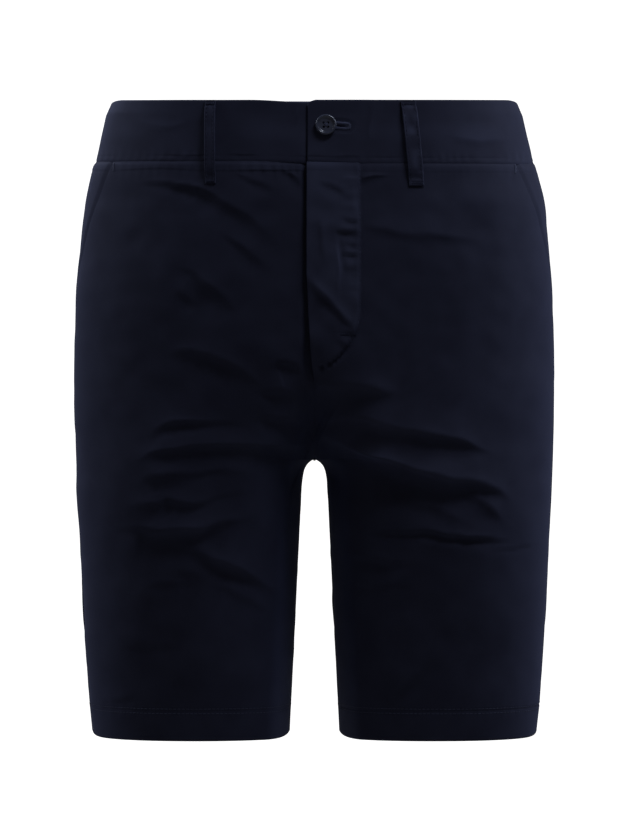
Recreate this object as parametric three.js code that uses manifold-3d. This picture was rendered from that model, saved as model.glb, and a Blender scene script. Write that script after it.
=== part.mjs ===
// Bermuda shorts in cotton twill, filled out as they are worn, with nobody in them.
// Millimetres, +Z up. The front faces -Y and +X is the wearer's left. The origin is the centre of
// the waist opening, halfway up the waistband.
import * as THREE from 'three';
import { mergeVertices } from 'three/addons/utils/BufferGeometryUtils.js';
import Module from 'manifold-3d';

const wasm = await Module();
wasm.setup();

// Cloth and seams
const TWILL = 1.5; // wall of a panel
const BAND_WALL = 2.4; // waistband, two layers and an interlining
const HEM_WALL = 2.8; // panel and its turned-up hem
const SEAM_GAP = 0.3; // between two pieces that are sewn together

// Heights at the side seams
const BAND_TOP = 24.5;
const BAND_SEAM = -24.5;
const HEM_STITCH = -458.5;
const HEM_EDGE = -481.2;

// The rise: the centre seam leaves the front and back at top and turns under to the crotch point.
const FORK = { top: -165, point: -262, legs: -335 };

// The cloth's outer face, from the waistband's top edge to the hem. side is half the width, front
// and back are depths from the side seam, square is the superellipse's exponent (2 is an ellipse).
const SECTIONS = [
  { z: BAND_TOP, side: 162.4, front: 111, back: 116, square: 2.6 },
  { z: 15, side: 166.4, front: 112, back: 117.5, square: 2.6 },
  { z: BAND_SEAM, side: 174.6, front: 118, back: 125, square: 2.55 },
  { z: -34, side: 178.2, front: 119.5, back: 128.5, square: 2.5 },
  { z: -60, side: 183.6, front: 122.5, back: 137, square: 2.45 },
  { z: -105, side: 188.2, front: 125.5, back: 148, square: 2.4 },
  { z: -160, side: 190.8, front: 125.5, back: 154, square: 2.35 },
  { z: -205, side: 191.6, front: 122, back: 151, square: 2.3 },
  { z: FORK.point, side: 190.6, front: 115, back: 138, square: 2.2 },
  { z: -330, side: 187.4, front: 105, back: 118, square: 2.15 },
  { z: -400, side: 183.8, front: 96, back: 102, square: 2.15 },
  { z: -455, side: 180, front: 90, back: 92.5, square: 2.15 },
  { z: HEM_EDGE, side: 177.6, front: 87, back: 88, square: 2.15 },
];
// The rows above this one are joined by straight lines, the waistband's.
const BAND_ROWS = 2;
// Where the legs part, the body's section takes over from the fork's within this share of the width.
const FAR_SHARE = 0.38;

// Between the legs: half the gap opens as a round arch and then widens slowly towards the hem. The
// arch shapes the cloth within a local distance of its edge.
const ARCH = { half: 9.2, fall: 5.2, power: 0.82, spread: 0.048, local: 26 };

// The waist lies lowest at the centre front and highest at the centre back. Its edge also drops a
// little at the side seams and beside the lap, and its seam on the wearer's left.
const WAIST = {
  frontTop: 7.1,
  frontSeam: 5.3,
  backRise: 6,
  corner: 4.6,
  lapDip: 1.6,
  sag: 1.8,
  fadeTo: -120,
};

// The fly: the wearer's left front laps over the right, down to where the centre seam begins.
const FLY = {
  lap: 5.4, // past the centre line
  closing: 80, // the height over which the lap narrows at its lower end
  under: 8, // how far the right front runs on beneath
  sink: 2.1, // how deep the right front lies there
  raise: 0.5, // the fly's layers lift the left front
  stitchX: 35.2, // the J-shaped stitching, from the centre
  curveTop: -145, // where the J leaves the straight
  curve: 1.5, // how full its curve is: 2 is an ellipse
  end: -196,
};

// The waistband's ends lap in the same way, under the button.
const BAND_LAP = { lap: 4.3, under: 34, sink: 2.6, raise: 0.4 };

// Slant pocket: its mouth runs from the waist seam to the side seam.
const POCKET = { topShare: 0.68, bottom: -150, sink: 1.95, ease: 0.06 };

// Belt loops: where they sit on the waist. x is at the top edge and lean moves the lower end.
const LOOPS = [
  { name: 'belt_loop_front_right', x: -80.8, lean: 0.2, width: 8.6, face: 'front' },
  { name: 'belt_loop_front_left', x: 73.6, lean: 5.8, width: 11.2, face: 'front' },
  { name: 'belt_loop_back_right', x: -104, lean: -1.5, width: 9.6, face: 'back' },
  { name: 'belt_loop_back_left', x: 104, lean: 1.5, width: 9.6, face: 'back' },
  { name: 'belt_loop_centre_back', x: 0, lean: 0, width: 9.6, face: 'back' },
];
const LOOP_WALL = 1.8;
// A loop's line from its lower end to its top: height, and how far its back stands off the cloth.
const LOOP_LINE = [
  { z: -42.5, off: 0.6 },
  { z: -38, off: 0.6 },
  { z: -34, off: 1.4 },
  { z: -29, off: 2.6 },
  { z: -18, off: 3 },
  { z: 2, off: 3.1 },
  { z: 14, off: 2.7 },
  { z: 19.5, off: 1.5 },
  { z: 22.5, off: 0.5 },
  { z: 25.4, off: 0.4 },
];

const BUTTON = {
  x: 8.9,
  z: 4.6,
  radius: 8.4,
  height: 3.2,
  rim: 1.9,
  dish: 1.5,
  holeRadius: 0.85,
  holeFrom: 2.1,
};

// The largest folds. Each is a trough along a curve from start to end that passes by a middle
// point, with a softer ridge above it. x and z are seen from that face, depth is the trough's.
const FOLDS = [
  { face: 'front', x: [-128.4, -86, -42.3], z: [-50, -54, -66.4], depth: 1.4, width: 7 },
  { face: 'front', x: [-73.4, -53.9, -34.5], z: [-75.5, -91.2, -106.8], depth: 1.6, width: 10 },
  { face: 'front', x: [-103, -77.2, -61.7], z: [-114.2, -137.7, -157.1], depth: 1.8, width: 9 },
  { face: 'front', x: [-110.1, -76.5, -61.7], z: [-181, -186, -200.5], depth: 2, width: 8 },
  { face: 'front', x: [-119.3, -92, -57.9], z: [-240.9, -228, -235.5], depth: 1.8, width: 6 },
  { face: 'front', x: [-124.8, -96, -43.3], z: [-263.5, -242, -254.2], depth: 3.2, width: 6.5 },
  { face: 'front', x: [-130.4, -96.8, -58], z: [-280.6, -270, -272.8], depth: 1.8, width: 6 },
  { face: 'front', x: [-136.9, -110, -89.1], z: [-299.4, -304, -300.8], depth: 1.8, width: 6 },
  { face: 'front', x: [-145.7, -108.7, -62], z: [-314.4, -336, -308.7], depth: 3.2, width: 6.5 },
  { face: 'front', x: [-104, -70, -30.2], z: [-338, -346, -367.3], depth: 2, width: 7 },
  { face: 'front', x: [4.3, 35.3, 58.6], z: [-206, -212, -213.7], depth: 1.8, width: 8 },
  { face: 'front', x: [21.6, 58, 121.7], z: [-230, -228, -252.6], depth: 2.4, width: 6.5 },
  { face: 'front', x: [34.8, 78.9, 128.9], z: [-256.6, -276, -293.1], depth: 4, width: 7 },
  { face: 'front', x: [78.2, 97.7, 113.3], z: [-297, -303.2, -308.7], depth: 1.6, width: 6 },
  { face: 'front', x: [121, 134.5, 146.5], z: [-281.4, -294.7, -308.9], depth: 1.4, width: 6 },
  { face: 'front', x: [47.3, 97.7, 146.6], z: [-316.7, -311, -323.8], depth: 3, width: 5.5 },
  { face: 'back', x: [-14, -64, -118], z: [-246, -252, -232], depth: 3, width: 9 },
  { face: 'back', x: [-22, -78, -132], z: [-272, -282, -262], depth: 2.4, width: 9 },
  { face: 'back', x: [-40, -92, -140], z: [-306, -318, -300], depth: 1.8, width: 9 },
  { face: 'back', x: [14, 66, 122], z: [-248, -250, -228], depth: 2.8, width: 9 },
  { face: 'back', x: [24, 82, 136], z: [-276, -288, -268], depth: 2.6, width: 9 },
  { face: 'back', x: [36, 88, 134], z: [-312, -322, -308], depth: 1.8, width: 9 },
];

// Shares of the way round a panel, from its centre seam or inseam to the side seam: on the body,
// with two columns beside the fly's stitching, and on the leg.
const FRONT_COLUMNS = {
  body: [0, 0.012, 0.03, 0.06, 0.083, 0.096, 0.15, 0.23, 0.32, 0.42, 0.54, 0.66, 0.78, 0.89, 1],
  leg: [0, 0.05, 0.11, 0.18, 0.25, 0.325, 0.4, 0.475, 0.55, 0.625, 0.7, 0.775, 0.85, 0.925, 1],
};
const BACK_COLUMNS = {
  body: [0, 0.05, 0.13, 0.23, 0.35, 0.48, 0.61, 0.74, 0.87, 1],
  leg: [0, 0.08, 0.2, 0.32, 0.44, 0.56, 0.68, 0.79, 0.9, 1],
};

const clamp01 = (t) => Math.min(1, Math.max(0, t));
const mix = (a, b, t) => a + (b - a) * t;
const smooth = (from, to, v) => {
  const t = clamp01((v - from) / (to - from));
  return t * t * (3 - 2 * t);
};
const signedPower = (v, power) => Math.sign(v) * Math.pow(Math.abs(v), power);

// One column of SECTIONS at height z: straight on the waistband, a smooth curve below it.
function sectionValue(key, z) {
  const rows = SECTIONS;
  const last = rows.length - 1;
  const at = rows.findIndex((row, i) => i === last || z >= rows[i + 1].z);
  const i = Math.min(at, last - 1);
  const [a, b] = [rows[i], rows[i + 1]];
  const t = clamp01((a.z - z) / (a.z - b.z));
  if (i < BAND_ROWS) return mix(a[key], b[key], t);
  const slope = (j) => {
    const [up, down] = [rows[Math.max(BAND_ROWS, j - 1)], rows[Math.min(last, j + 1)]];
    return (down[key] - up[key]) / (up.z - down.z);
  };
  const span = a.z - b.z;
  const [t2, t3] = [t * t, t * t * t];
  return (
    a[key] * (2 * t3 - 3 * t2 + 1) +
    slope(i) * span * (t3 - 2 * t2 + t) +
    b[key] * (3 * t2 - 2 * t3) +
    slope(i + 1) * span * (t3 - t2)
  );
}

// Half the gap between the legs: the arch at the crotch, and the slow spread below it.
function archAt(z) {
  const drop = Math.max(0, FORK.point - z);
  return ARCH.half * Math.pow(1 - Math.exp(-drop / ARCH.fall), ARCH.power);
}
const spreadAt = (z) => ARCH.spread * Math.max(0, FORK.point - z);

// The section at height z. The body is one superellipse about the centre line and each leg has its
// own. Between them the leg's runs on past the centre line by less and less, down to the crotch
// point, so that the centre seam's depth follows a quarter of an ellipse.
function sectionAt(z) {
  const side = sectionValue('side', z);
  const square = sectionValue('square', z);
  const arch = archAt(z);
  const spread = spreadAt(z);
  let edge = arch + spread;
  if (z >= FORK.top) edge = -side;
  else if (z > FORK.point) {
    const drop = (FORK.top - z) / (FORK.top - FORK.point);
    const depth = Math.sqrt(1 - drop * drop);
    const r = Math.pow(1 - Math.pow(depth, square), 1 / square);
    edge = (-side * (1 - r)) / (1 + r);
  }
  const unarched = z > FORK.point ? edge : spread;
  return {
    side,
    square,
    arch,
    inner: Math.max(0, edge),
    forked: (side + edge) / 2,
    forkedHalf: (side - edge) / 2,
    unarched: (side + unarched) / 2,
    unarchedHalf: (side - unarched) / 2,
    leg: (side + spread) / 2,
    legHalf: (side - spread) / 2,
    reachLeg: smooth(FORK.top, FORK.point, z),
    depthLeg: smooth(FORK.top, FORK.legs, z),
    open: z <= FORK.point,
    front: sectionValue('front', z),
    back: sectionValue('back', z),
  };
}

// Distance from the centre line at a share of the way round the section.
function reachAt(section, share) {
  const power = 2 / section.square;
  const body = section.side * signedPower(Math.sin((Math.PI / 2) * share), power);
  const leg = section.leg - section.legHalf * signedPower(Math.cos(Math.PI * share), power);
  const arched = leg + section.arch * (1 - smooth(0.1, 0.65, share));
  return mix(body, arched, section.reachLeg);
}

// How far the cloth lies from the side seam's plane at a distance from the centre line, as a share
// of the section's depth. The valley at the centre seam is rounded.
function profileAt(section, x) {
  const { side, square, inner, forked, forkedHalf, leg, legHalf } = section;
  const across = Math.abs(x);
  const round = (centre, half) =>
    signedPower(1 - Math.pow(Math.abs((across - centre) / half), square), 1 / square);
  let near = round(forked, forkedHalf);
  let bare = round(section.unarched, section.unarchedHalf);
  if (!section.open && forked > 0) {
    const r = forked / forkedHalf;
    const left = Math.max(1e-6, 1 - Math.pow(r, square));
    const steep = (Math.pow(r, square - 1) * Math.pow(left, (1 - square) / square)) / forkedHalf;
    const valley = (5 * Math.pow(left, 1 / square)) / (1 + 120 * steep);
    const groove = steep * (Math.hypot(across, valley) - across);
    near += groove;
    bare += groove;
  }
  const far = mix(round(0, side), round(leg, legHalf), section.depthLeg);
  const wide = mix(bare, far, smooth(inner, inner + FAR_SHARE * side, across));
  return mix(near, wide, smooth(inner + 2, inner + ARCH.local, across));
}

// The outward direction at a point, from how fast the section's shape changes around it.
function outward(x, y, z) {
  const inside = (px, py, pz) => {
    const section = sectionAt(pz);
    const { square } = section;
    const depth = py < 0 ? section.front : section.back;
    return Math.pow(Math.abs(py / depth), square) - signedPower(profileAt(section, px), square);
  };
  const step = 1.5;
  return new THREE.Vector3(
    inside(x + step, y, z) - inside(x - step, y, z),
    inside(x, y + step, z) - inside(x, y - step, z),
    inside(x, y, Math.min(BAND_TOP, z + step)) - inside(x, y, Math.max(HEM_EDGE, z - step)),
  ).normalize();
}

// How the waist's edge and seam depart from a level line: q is -1 at the centre front, 0 at the side
// seam and 1 at the centre back.
function waistLift(x, q, z) {
  const fade = smooth(WAIST.fadeTo, BAND_SEAM, z);
  const up = smooth(BAND_SEAM, BAND_TOP, z);
  const corner = WAIST.corner * Math.pow(Math.max(0, 1 - Math.abs(q) / 0.48), 1.3) * up;
  if (q >= 0) return fade * WAIST.backRise * smooth(0, 1, q) - corner;
  const front = mix(WAIST.frontSeam, WAIST.frontTop, up) * -q;
  const dip = x < 0 ? WAIST.lapDip * smooth(-52, -8, x) * up : 0;
  const sag = WAIST.sag * smooth(-50, 40, x) * smooth(0, 0.6, -q) * (1 - up);
  return -fade * (front + sag) - dip - corner;
}

// How far a fold moves the cloth at a place: a trough, and above it a lower, wider ridge.
function foldAt(fold, x, z) {
  const steps = 14;
  let near = Infinity;
  let along = 0;
  let across = 0;
  for (let i = 0; i <= steps; i += 1) {
    const t = i / steps;
    const at = (v) => (1 - t) * (1 - t) * v[0] + 2 * t * (1 - t) * v[1] + t * t * v[2];
    const [dx, dz] = [x - at(fold.x), z - at(fold.z)];
    const far = Math.hypot(dx, dz);
    if (far < near) [near, along, across] = [far, t, dz >= 0 ? far : -far];
  }
  const taper = Math.pow(Math.sin(Math.PI * (0.06 + 0.88 * along)), 0.7);
  const off = near / fold.width;
  if (off > 4) return 0;
  const trough = Math.exp(-off * off);
  const up = (across / fold.width - 1.6) / 1.3;
  const ridge = 0.55 * Math.exp(-up * up) * Math.exp(-Math.pow(off / 3.4, 4));
  return fold.depth * taper * (ridge - trough);
}

function foldsAt(face, x, z, share) {
  const window = smooth(0, 0.09, share) * (1 - smooth(0.86, 0.99, share)) * smooth(-38, -52, z);
  if (window === 0) return 0;
  let sum = 0;
  for (const fold of FOLDS) if (fold.face === face) sum += foldAt(fold, x, z);
  return window * sum;
}

// Inside the fly's J-shaped stitching this is 1, and outside it 0.
function flyArea(x, z) {
  const low = clamp01((FLY.curveTop - z) / (FLY.curveTop - FLY.end));
  const edge = FLY.stitchX * Math.pow(1 - Math.pow(low, FLY.curve), 1 / FLY.curve);
  return z < FLY.end ? 0 : 1 - smooth(edge - 2, edge + 1.2, x);
}

// A point of a panel: outer face and outward direction. side is 1 for the wearer's left.
function panelPoint(side, face, share, z) {
  const section = sectionAt(z);
  let x = reachAt(section, share);
  let extra = 0;
  if (face === 'front') {
    const open = Math.pow(clamp01((z - FLY.end) / FLY.closing), 0.6);
    const covered = smooth(FLY.end + 14, FLY.end + 28, z);
    const past = side > 0 ? FLY.lap * open : FLY.under * covered;
    x -= past * Math.max(0, 1 - x / 30);
    if (side > 0) extra += FLY.raise * flyArea(x, z);
    else extra -= FLY.sink * smooth(-17, -9, -x) * smooth(FLY.end - 24, FLY.end - 10, z);
  }
  const sign = face === 'front' ? -1 : 1;
  const y = sign * section[face] * Math.max(0, profileAt(section, x));
  const normal = outward(side * x, y, z);
  const point = new THREE.Vector3(side * x, y, z);
  extra += foldsAt(face, side * x, z, share);
  extra -= 0.5 * Math.exp(-Math.pow((z - HEM_STITCH) / 1.2, 2));
  const seamPull = Math.exp(-Math.pow(y / 24, 2)) * smooth(-430, HEM_EDGE, z);
  point.addScaledVector(normal, extra);
  point.z += waistLift(side * x, y / section[face], z) + 2.6 * seamPull;
  point.x += (side * SEAM_GAP) / 2;
  point.y += (sign * SEAM_GAP) / 2;
  return { point, normal };
}

// A closed wall of cloth: rows of outer points, each with its outward direction and thickness.
function clothWall(rows) {
  const across = rows[0].length;
  const positions = [];
  for (const inner of [false, true]) {
    for (const row of rows) {
      for (const { point, normal, wall } of row) {
        const p = inner ? point.clone().addScaledVector(normal, -wall) : point;
        positions.push(p.x, p.y, p.z);
      }
    }
  }
  const back = rows.length * across;
  const at = (i, j) => i * across + j;
  const faces = [];
  const quad = (a, b, c, d) => faces.push(a, b, c, a, c, d);
  for (let i = 0; i + 1 < rows.length; i += 1) {
    for (let j = 0; j + 1 < across; j += 1) {
      quad(at(i, j), at(i, j + 1), at(i + 1, j + 1), at(i + 1, j));
      quad(back + at(i, j), back + at(i + 1, j), back + at(i + 1, j + 1), back + at(i, j + 1));
    }
  }
  const end = across - 1;
  for (let i = 0; i + 1 < rows.length; i += 1) {
    quad(at(i, 0), at(i + 1, 0), back + at(i + 1, 0), back + at(i, 0));
    quad(at(i, end), back + at(i, end), back + at(i + 1, end), at(i + 1, end));
  }
  const foot = rows.length - 1;
  for (let j = 0; j + 1 < across; j += 1) {
    quad(at(0, j), back + at(0, j), back + at(0, j + 1), at(0, j + 1));
    quad(at(foot, j), at(foot, j + 1), back + at(foot, j + 1), back + at(foot, j));
  }
  return facingOut(positions, faces);
}

// The geometry of a closed mesh, turned round if its faces point in.
function facingOut(positions, faces) {
  const at = (i) => new THREE.Vector3(...positions.slice(3 * i, 3 * i + 3));
  let volume = 0;
  for (let i = 0; i < faces.length; i += 3) {
    volume += at(faces[i]).dot(at(faces[i + 1]).cross(at(faces[i + 2])));
  }
  if (volume < 0) {
    for (let i = 0; i < faces.length; i += 3) [faces[i + 1], faces[i + 2]] = [faces[i + 2], faces[i + 1]];
  }
  const geometry = new THREE.BufferGeometry();
  geometry.setAttribute('position', new THREE.Float32BufferAttribute(positions, 3));
  geometry.setIndex(faces);
  geometry.computeVertexNormals();
  return geometry;
}

// Heights of a panel's rows: close together where the rise turns under and through the folds.
function panelHeights() {
  const heights = [BAND_SEAM - SEAM_GAP / 2];
  const spans = [
    { to: -36, steps: 2 },
    { to: POCKET.bottom, steps: 8 },
    { to: FORK.top, steps: 1 },
  ];
  for (const { to, steps } of spans) {
    const from = heights[heights.length - 1];
    for (let i = 1; i <= steps; i += 1) heights.push(mix(from, to, i / steps));
  }
  const turns = 12;
  for (let i = 1; i <= turns; i += 1) {
    heights.push(mix(FORK.top, FORK.point, Math.sin(((Math.PI / 2) * i) / turns)));
  }
  for (const drop of [0.6, 2.2, 5, 9.5, 15, 22, 29, 36, 43, 50, 57, 64, 71, 80, 92, 108, 128, 152, 176]) {
    heights.push(FORK.point - drop);
  }
  for (const past of [5, 1, 0, -1, -4]) heights.push(HEM_STITCH + past);
  heights.push((HEM_STITCH + HEM_EDGE) / 2 - 2, HEM_EDGE);
  return heights;
}
const HEIGHTS = panelHeights();

// The pocket's mouth: the share of the way round at which the front panel ends.
function pocketShare(z) {
  const down = clamp01((BAND_SEAM - z) / (BAND_SEAM - POCKET.bottom));
  return mix(POCKET.topShare, 1, Math.pow(down, 1.15));
}

// A panel's shares at height z, from its centre seam or inseam to its other edge.
function panelShares(face, z) {
  const columns = face === 'front' ? FRONT_COLUMNS : BACK_COLUMNS;
  const leg = smooth(FORK.top, FORK.point, z);
  const end = face === 'front' ? pocketShare(z) : 1;
  return columns.body.map((body, j) => {
    const share = mix(body, columns.leg[j], leg);
    return share < 0.4 ? share : mix(0.4, end, (share - 0.4) / 0.6);
  });
}

// The pocket side's shares: two columns in under the front panel, and the mouth onwards.
function pocketShares(z) {
  const mouth = pocketShare(z);
  const open = [0.13, 0.34, 0.62, 1].map((t) => mix(mouth, 1, t));
  return [...panelShares('front', z).slice(-3), ...open];
}

function panelRows(side, face) {
  return HEIGHTS.map((z) =>
    panelShares(face, z).map((share) => {
      const wall = mix(HEM_WALL, TWILL, smooth(HEM_STITCH - 1.2, HEM_STITCH + 1.2, z));
      return { ...panelPoint(side, face, share, z), wall };
    }),
  );
}

// The piece of cloth seen in the pocket's mouth. It runs in under the front panel.
function pocketRows(side) {
  return HEIGHTS.filter((z) => z > POCKET.bottom + 1).map((z) => {
    const mouth = pocketShare(z);
    return pocketShares(z).map((share) => {
      const { point, normal } = panelPoint(side, 'front', share, z);
      const out = smooth(mouth + 0.004, mouth + POCKET.ease, share);
      point.addScaledVector(normal, -POCKET.sink * (1 - out));
      return { point, normal, wall: TWILL };
    });
  });
}

// A point of the waistband's outer face at an angle from the centre front, where a right angle is
// the side seam.
function bandPoint(angle, z) {
  const s = sectionAt(z);
  const x = s.side * signedPower(Math.sin(angle), 2 / s.square);
  const depth = Math.cos(angle) > 0 ? s.front : s.back;
  const y = -depth * signedPower(Math.cos(angle), 2 / s.square);
  const normal = outward(x, y, z);
  return { point: new THREE.Vector3(x, y, z + waistLift(x, y / depth, z)), normal };
}

// The angle at which the band is at a distance x from the centre front.
function bandAngle(x, z) {
  const s = sectionAt(z);
  return Math.asin(signedPower(x / s.side, s.square / 2));
}

// Half a waistband, from its end at the front round to the centre back, with a column over each
// column of the panels it is sewn to.
function bandRows(side) {
  const past = side > 0 ? [BAND_LAP.lap] : [BAND_LAP.under, 23, 12, 5];
  const front = [...panelShares('front', BAND_SEAM), ...pocketShares(BAND_SEAM).slice(3)];
  const back = panelShares('back', BAND_SEAM).slice(0, -1).reverse();
  const levels = [BAND_TOP, BAND_TOP - 2, 15, 5, -10, BAND_SEAM + 2, BAND_SEAM + SEAM_GAP / 2];
  return levels.map((z) => {
    const angles = [
      ...past.map((x) => -bandAngle(x, z)),
      ...front.map((share) => (share * Math.PI) / 2),
      ...back.map((share) => Math.PI * (1 - share / 2)),
    ];
    return angles.map((angle, i) => {
      const { point, normal } = bandPoint(side * angle, z);
      const across = side * point.x;
      const before = Math.cos(angle) > 0;
      const lapped = before ? 1 - smooth(26, 44, across) : 0;
      const under = before ? 1 - smooth(8, 15, across) : 0;
      point.addScaledVector(normal, side > 0 ? BAND_LAP.raise * lapped : -BAND_LAP.sink * under);
      if (i === angles.length - 1) point.x += (side * SEAM_GAP) / 2;
      return { point, normal, wall: BAND_WALL };
    });
  });
}

// A belt loop: a strip that lies on the cloth at both ends and stands off it between them.
function loopGeometry({ x, lean, width, face }) {
  const positions = [];
  for (const { z, off } of LOOP_LINE) {
    const t = (BAND_TOP - z) / (BAND_TOP - LOOP_LINE[0].z);
    const level = Math.min(z, BAND_TOP);
    const front = bandAngle(x + lean * t, level);
    const angle = face === 'front' ? front : Math.PI - front;
    const { point, normal } = bandPoint(angle, level);
    const out = new THREE.Vector3(normal.x, normal.y, 0).normalize();
    const across = new THREE.Vector3(-out.y, out.x, 0);
    point.z += z - level;
    for (const [w, h] of [[-1, 0], [1, 0], [1, 1], [-1, 1]]) {
      const corner = point
        .clone()
        .addScaledVector(across, (w * width) / 2)
        .addScaledVector(out, off + h * LOOP_WALL);
      positions.push(corner.x, corner.y, corner.z);
    }
  }
  const faces = [];
  const quad = (a, b, c, d) => faces.push(a, b, c, a, c, d);
  for (let i = 0; i + 1 < LOOP_LINE.length; i += 1) {
    for (let k = 0; k < 4; k += 1) {
      const next = (k + 1) % 4;
      quad(4 * i + k, 4 * i + next, 4 * i + 4 + next, 4 * i + 4 + k);
    }
  }
  const top = 4 * (LOOP_LINE.length - 1);
  quad(3, 2, 1, 0);
  quad(top, top + 1, top + 2, top + 3);
  return facingOut(positions, faces);
}

function solidOf(geometry) {
  const bare = geometry.clone();
  bare.deleteAttribute('normal');
  bare.deleteAttribute('uv');
  const merged = mergeVertices(bare, 1e-4);
  return new wasm.Manifold(
    new wasm.Mesh({
      numProp: 3,
      vertProperties: new Float32Array(merged.attributes.position.array),
      triVerts: new Uint32Array(merged.index.array),
    }),
  );
}

function geometryOf(solid) {
  const mesh = solid.getMesh();
  const geometry = new THREE.BufferGeometry();
  geometry.setAttribute('position', new THREE.BufferAttribute(mesh.vertProperties, 3));
  geometry.setIndex(new THREE.BufferAttribute(mesh.triVerts, 1));
  geometry.computeVertexNormals();
  return geometry;
}

// A four-hole button, turned about its own Y axis, with a raised rim round a shallow dish.
function buttonGeometry() {
  const { radius: r, height: h, rim, dish } = BUTTON;
  const profile = [
    [0, 0],
    [r - 2.6, 0],
    [r - 1, 0.5],
    [r - 0.15, 1.3],
    [r, 1.9],
    [r - 0.3, 2.7],
    [r - rim / 2, h],
    [r - rim, h - 0.35],
    [r - rim - 0.9, h - 1.1],
    [r - rim - 2, h - dish],
    [0, h - dish],
  ].map(([x, y]) => new THREE.Vector2(x, y));
  let solid = solidOf(new THREE.LatheGeometry(profile, 36));
  for (let i = 0; i < 4; i += 1) {
    const turn = Math.PI / 4 + (i * Math.PI) / 2;
    const hole = new THREE.CylinderGeometry(BUTTON.holeRadius, BUTTON.holeRadius, 3 * h, 10);
    hole.translate(BUTTON.holeFrom * Math.cos(turn), 0, BUTTON.holeFrom * Math.sin(turn));
    solid = solid.subtract(solidOf(hole));
  }
  return geometryOf(solid);
}

const navyTwill = () => new THREE.MeshStandardMaterial({ color: 0x16182a, roughness: 0.85, metalness: 0 });
const navyButton = () => new THREE.MeshStandardMaterial({ color: 0x1a1d2b, roughness: 0.35, metalness: 0 });

const shorts = new THREE.Group();
shorts.name = 'bermuda_shorts';

function addPiece(name, geometry, material = navyTwill()) {
  const mesh = new THREE.Mesh(geometry, material);
  mesh.name = name;
  shorts.add(mesh);
  return mesh;
}

for (const [label, side] of [['left', 1], ['right', -1]]) {
  addPiece(`front_panel_${label}`, clothWall(panelRows(side, 'front')));
  addPiece(`back_panel_${label}`, clothWall(panelRows(side, 'back')));
  addPiece(`pocket_side_${label}`, clothWall(pocketRows(side)));
  addPiece(`waistband_${label}`, clothWall(bandRows(side)));
}

for (const loop of LOOPS) addPiece(loop.name, loopGeometry(loop));

// The button lies on the waistband's lap with its own axis along the cloth's outward direction.
function placeButton(mesh) {
  const { point, normal } = bandPoint(bandAngle(BUTTON.x, BUTTON.z), BUTTON.z);
  mesh.position.copy(point).addScaledVector(normal, BAND_LAP.raise + SEAM_GAP + 0.1);
  mesh.quaternion.setFromUnitVectors(new THREE.Vector3(0, 1, 0), normal);
}
placeButton(addPiece('waist_button', buttonGeometry(), navyButton()));

export default shorts;
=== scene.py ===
import math

import bpy
import numpy as np
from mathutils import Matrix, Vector


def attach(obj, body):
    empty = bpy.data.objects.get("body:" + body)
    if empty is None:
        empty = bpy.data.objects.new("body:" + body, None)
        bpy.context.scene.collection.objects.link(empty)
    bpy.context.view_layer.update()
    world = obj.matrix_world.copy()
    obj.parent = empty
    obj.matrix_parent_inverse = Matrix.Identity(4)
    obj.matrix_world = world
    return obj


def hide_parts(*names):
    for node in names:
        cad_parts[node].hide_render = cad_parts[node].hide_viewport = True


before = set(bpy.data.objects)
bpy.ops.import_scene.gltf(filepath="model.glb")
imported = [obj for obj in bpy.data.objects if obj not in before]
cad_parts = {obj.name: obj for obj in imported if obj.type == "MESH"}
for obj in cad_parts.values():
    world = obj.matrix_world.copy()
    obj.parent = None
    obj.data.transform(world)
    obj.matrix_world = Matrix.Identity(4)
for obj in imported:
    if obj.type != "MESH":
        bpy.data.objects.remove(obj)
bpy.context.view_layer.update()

mm = 0.001
print("frame loaded,", len(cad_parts), "solids")

# Shapes are worked out in millimetres, like the solids, and go into the scene in metres.
seamHeights = {"bandTop": 24.5, "bandSeam": -24.5, "hemStitch": -458.5, "hemEdge": -481.2}
fork = {"top": -165, "point": -262, "legs": -335}
arch = {"half": 9.2, "fall": 5.2, "power": 0.82, "spread": 0.048, "local": 18}

# The cloth's outer face by height: half width, depth in front and behind, and squareness.
sections = [
    {"z": 24.5, "side": 162.4, "front": 111, "back": 116, "square": 2.6},
    {"z": 15, "side": 166.4, "front": 112, "back": 117.5, "square": 2.6},
    {"z": -24.5, "side": 174.6, "front": 118, "back": 125, "square": 2.55},
    {"z": -34, "side": 178.2, "front": 119.5, "back": 128.5, "square": 2.5},
    {"z": -60, "side": 183.6, "front": 122.5, "back": 137, "square": 2.45},
    {"z": -105, "side": 188.2, "front": 125.5, "back": 148, "square": 2.4},
    {"z": -160, "side": 190.8, "front": 125.5, "back": 154, "square": 2.35},
    {"z": -205, "side": 191.6, "front": 122, "back": 151, "square": 2.3},
    {"z": -262, "side": 190.6, "front": 115, "back": 138, "square": 2.2},
    {"z": -330, "side": 187.4, "front": 105, "back": 118, "square": 2.15},
    {"z": -400, "side": 183.8, "front": 96, "back": 102, "square": 2.15},
    {"z": -455, "side": 180, "front": 90, "back": 92.5, "square": 2.15},
    {"z": -481.2, "side": 177.6, "front": 87, "back": 88, "square": 2.15},
]
bandRows = 2  # straight lines join the rows above this one

waist = {
    "frontTop": 7.1, "frontSeam": 5.3, "backRise": 6, "corner": 4.6, "lapDip": 1.6, "sag": 1.8,
    "fadeTo": -120,
}
fly = {
    "lap": 5.4, "under": 8, "sink": 2.1, "raise": 0.7, "stitchX": 35.2, "curveTop": -145, "end": -196,
    "closing": 80, "stitchEnd": -191, "curve": 1.8,
}
bandLap = {"lap": 4.3, "under": 34, "sink": 2.6, "raise": 0.5}
pocket = {"topShare": 0.68, "bottom": -150, "sink": 1.15, "ease": 0.05, "edge": 0.9}
# Wall thicknesses, and lengths round the cloth from the centre line to the side seam and to the back.
cloth = {"twill": 1.5, "band": 2.3, "hem": 2.7, "seamGap": 0.12, "girth": 262, "bandLength": 470}


def smooth(low, high, v):
    t = np.clip((v - low) / (high - low), 0, 1)
    return t * t * (3 - 2 * t)


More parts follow.
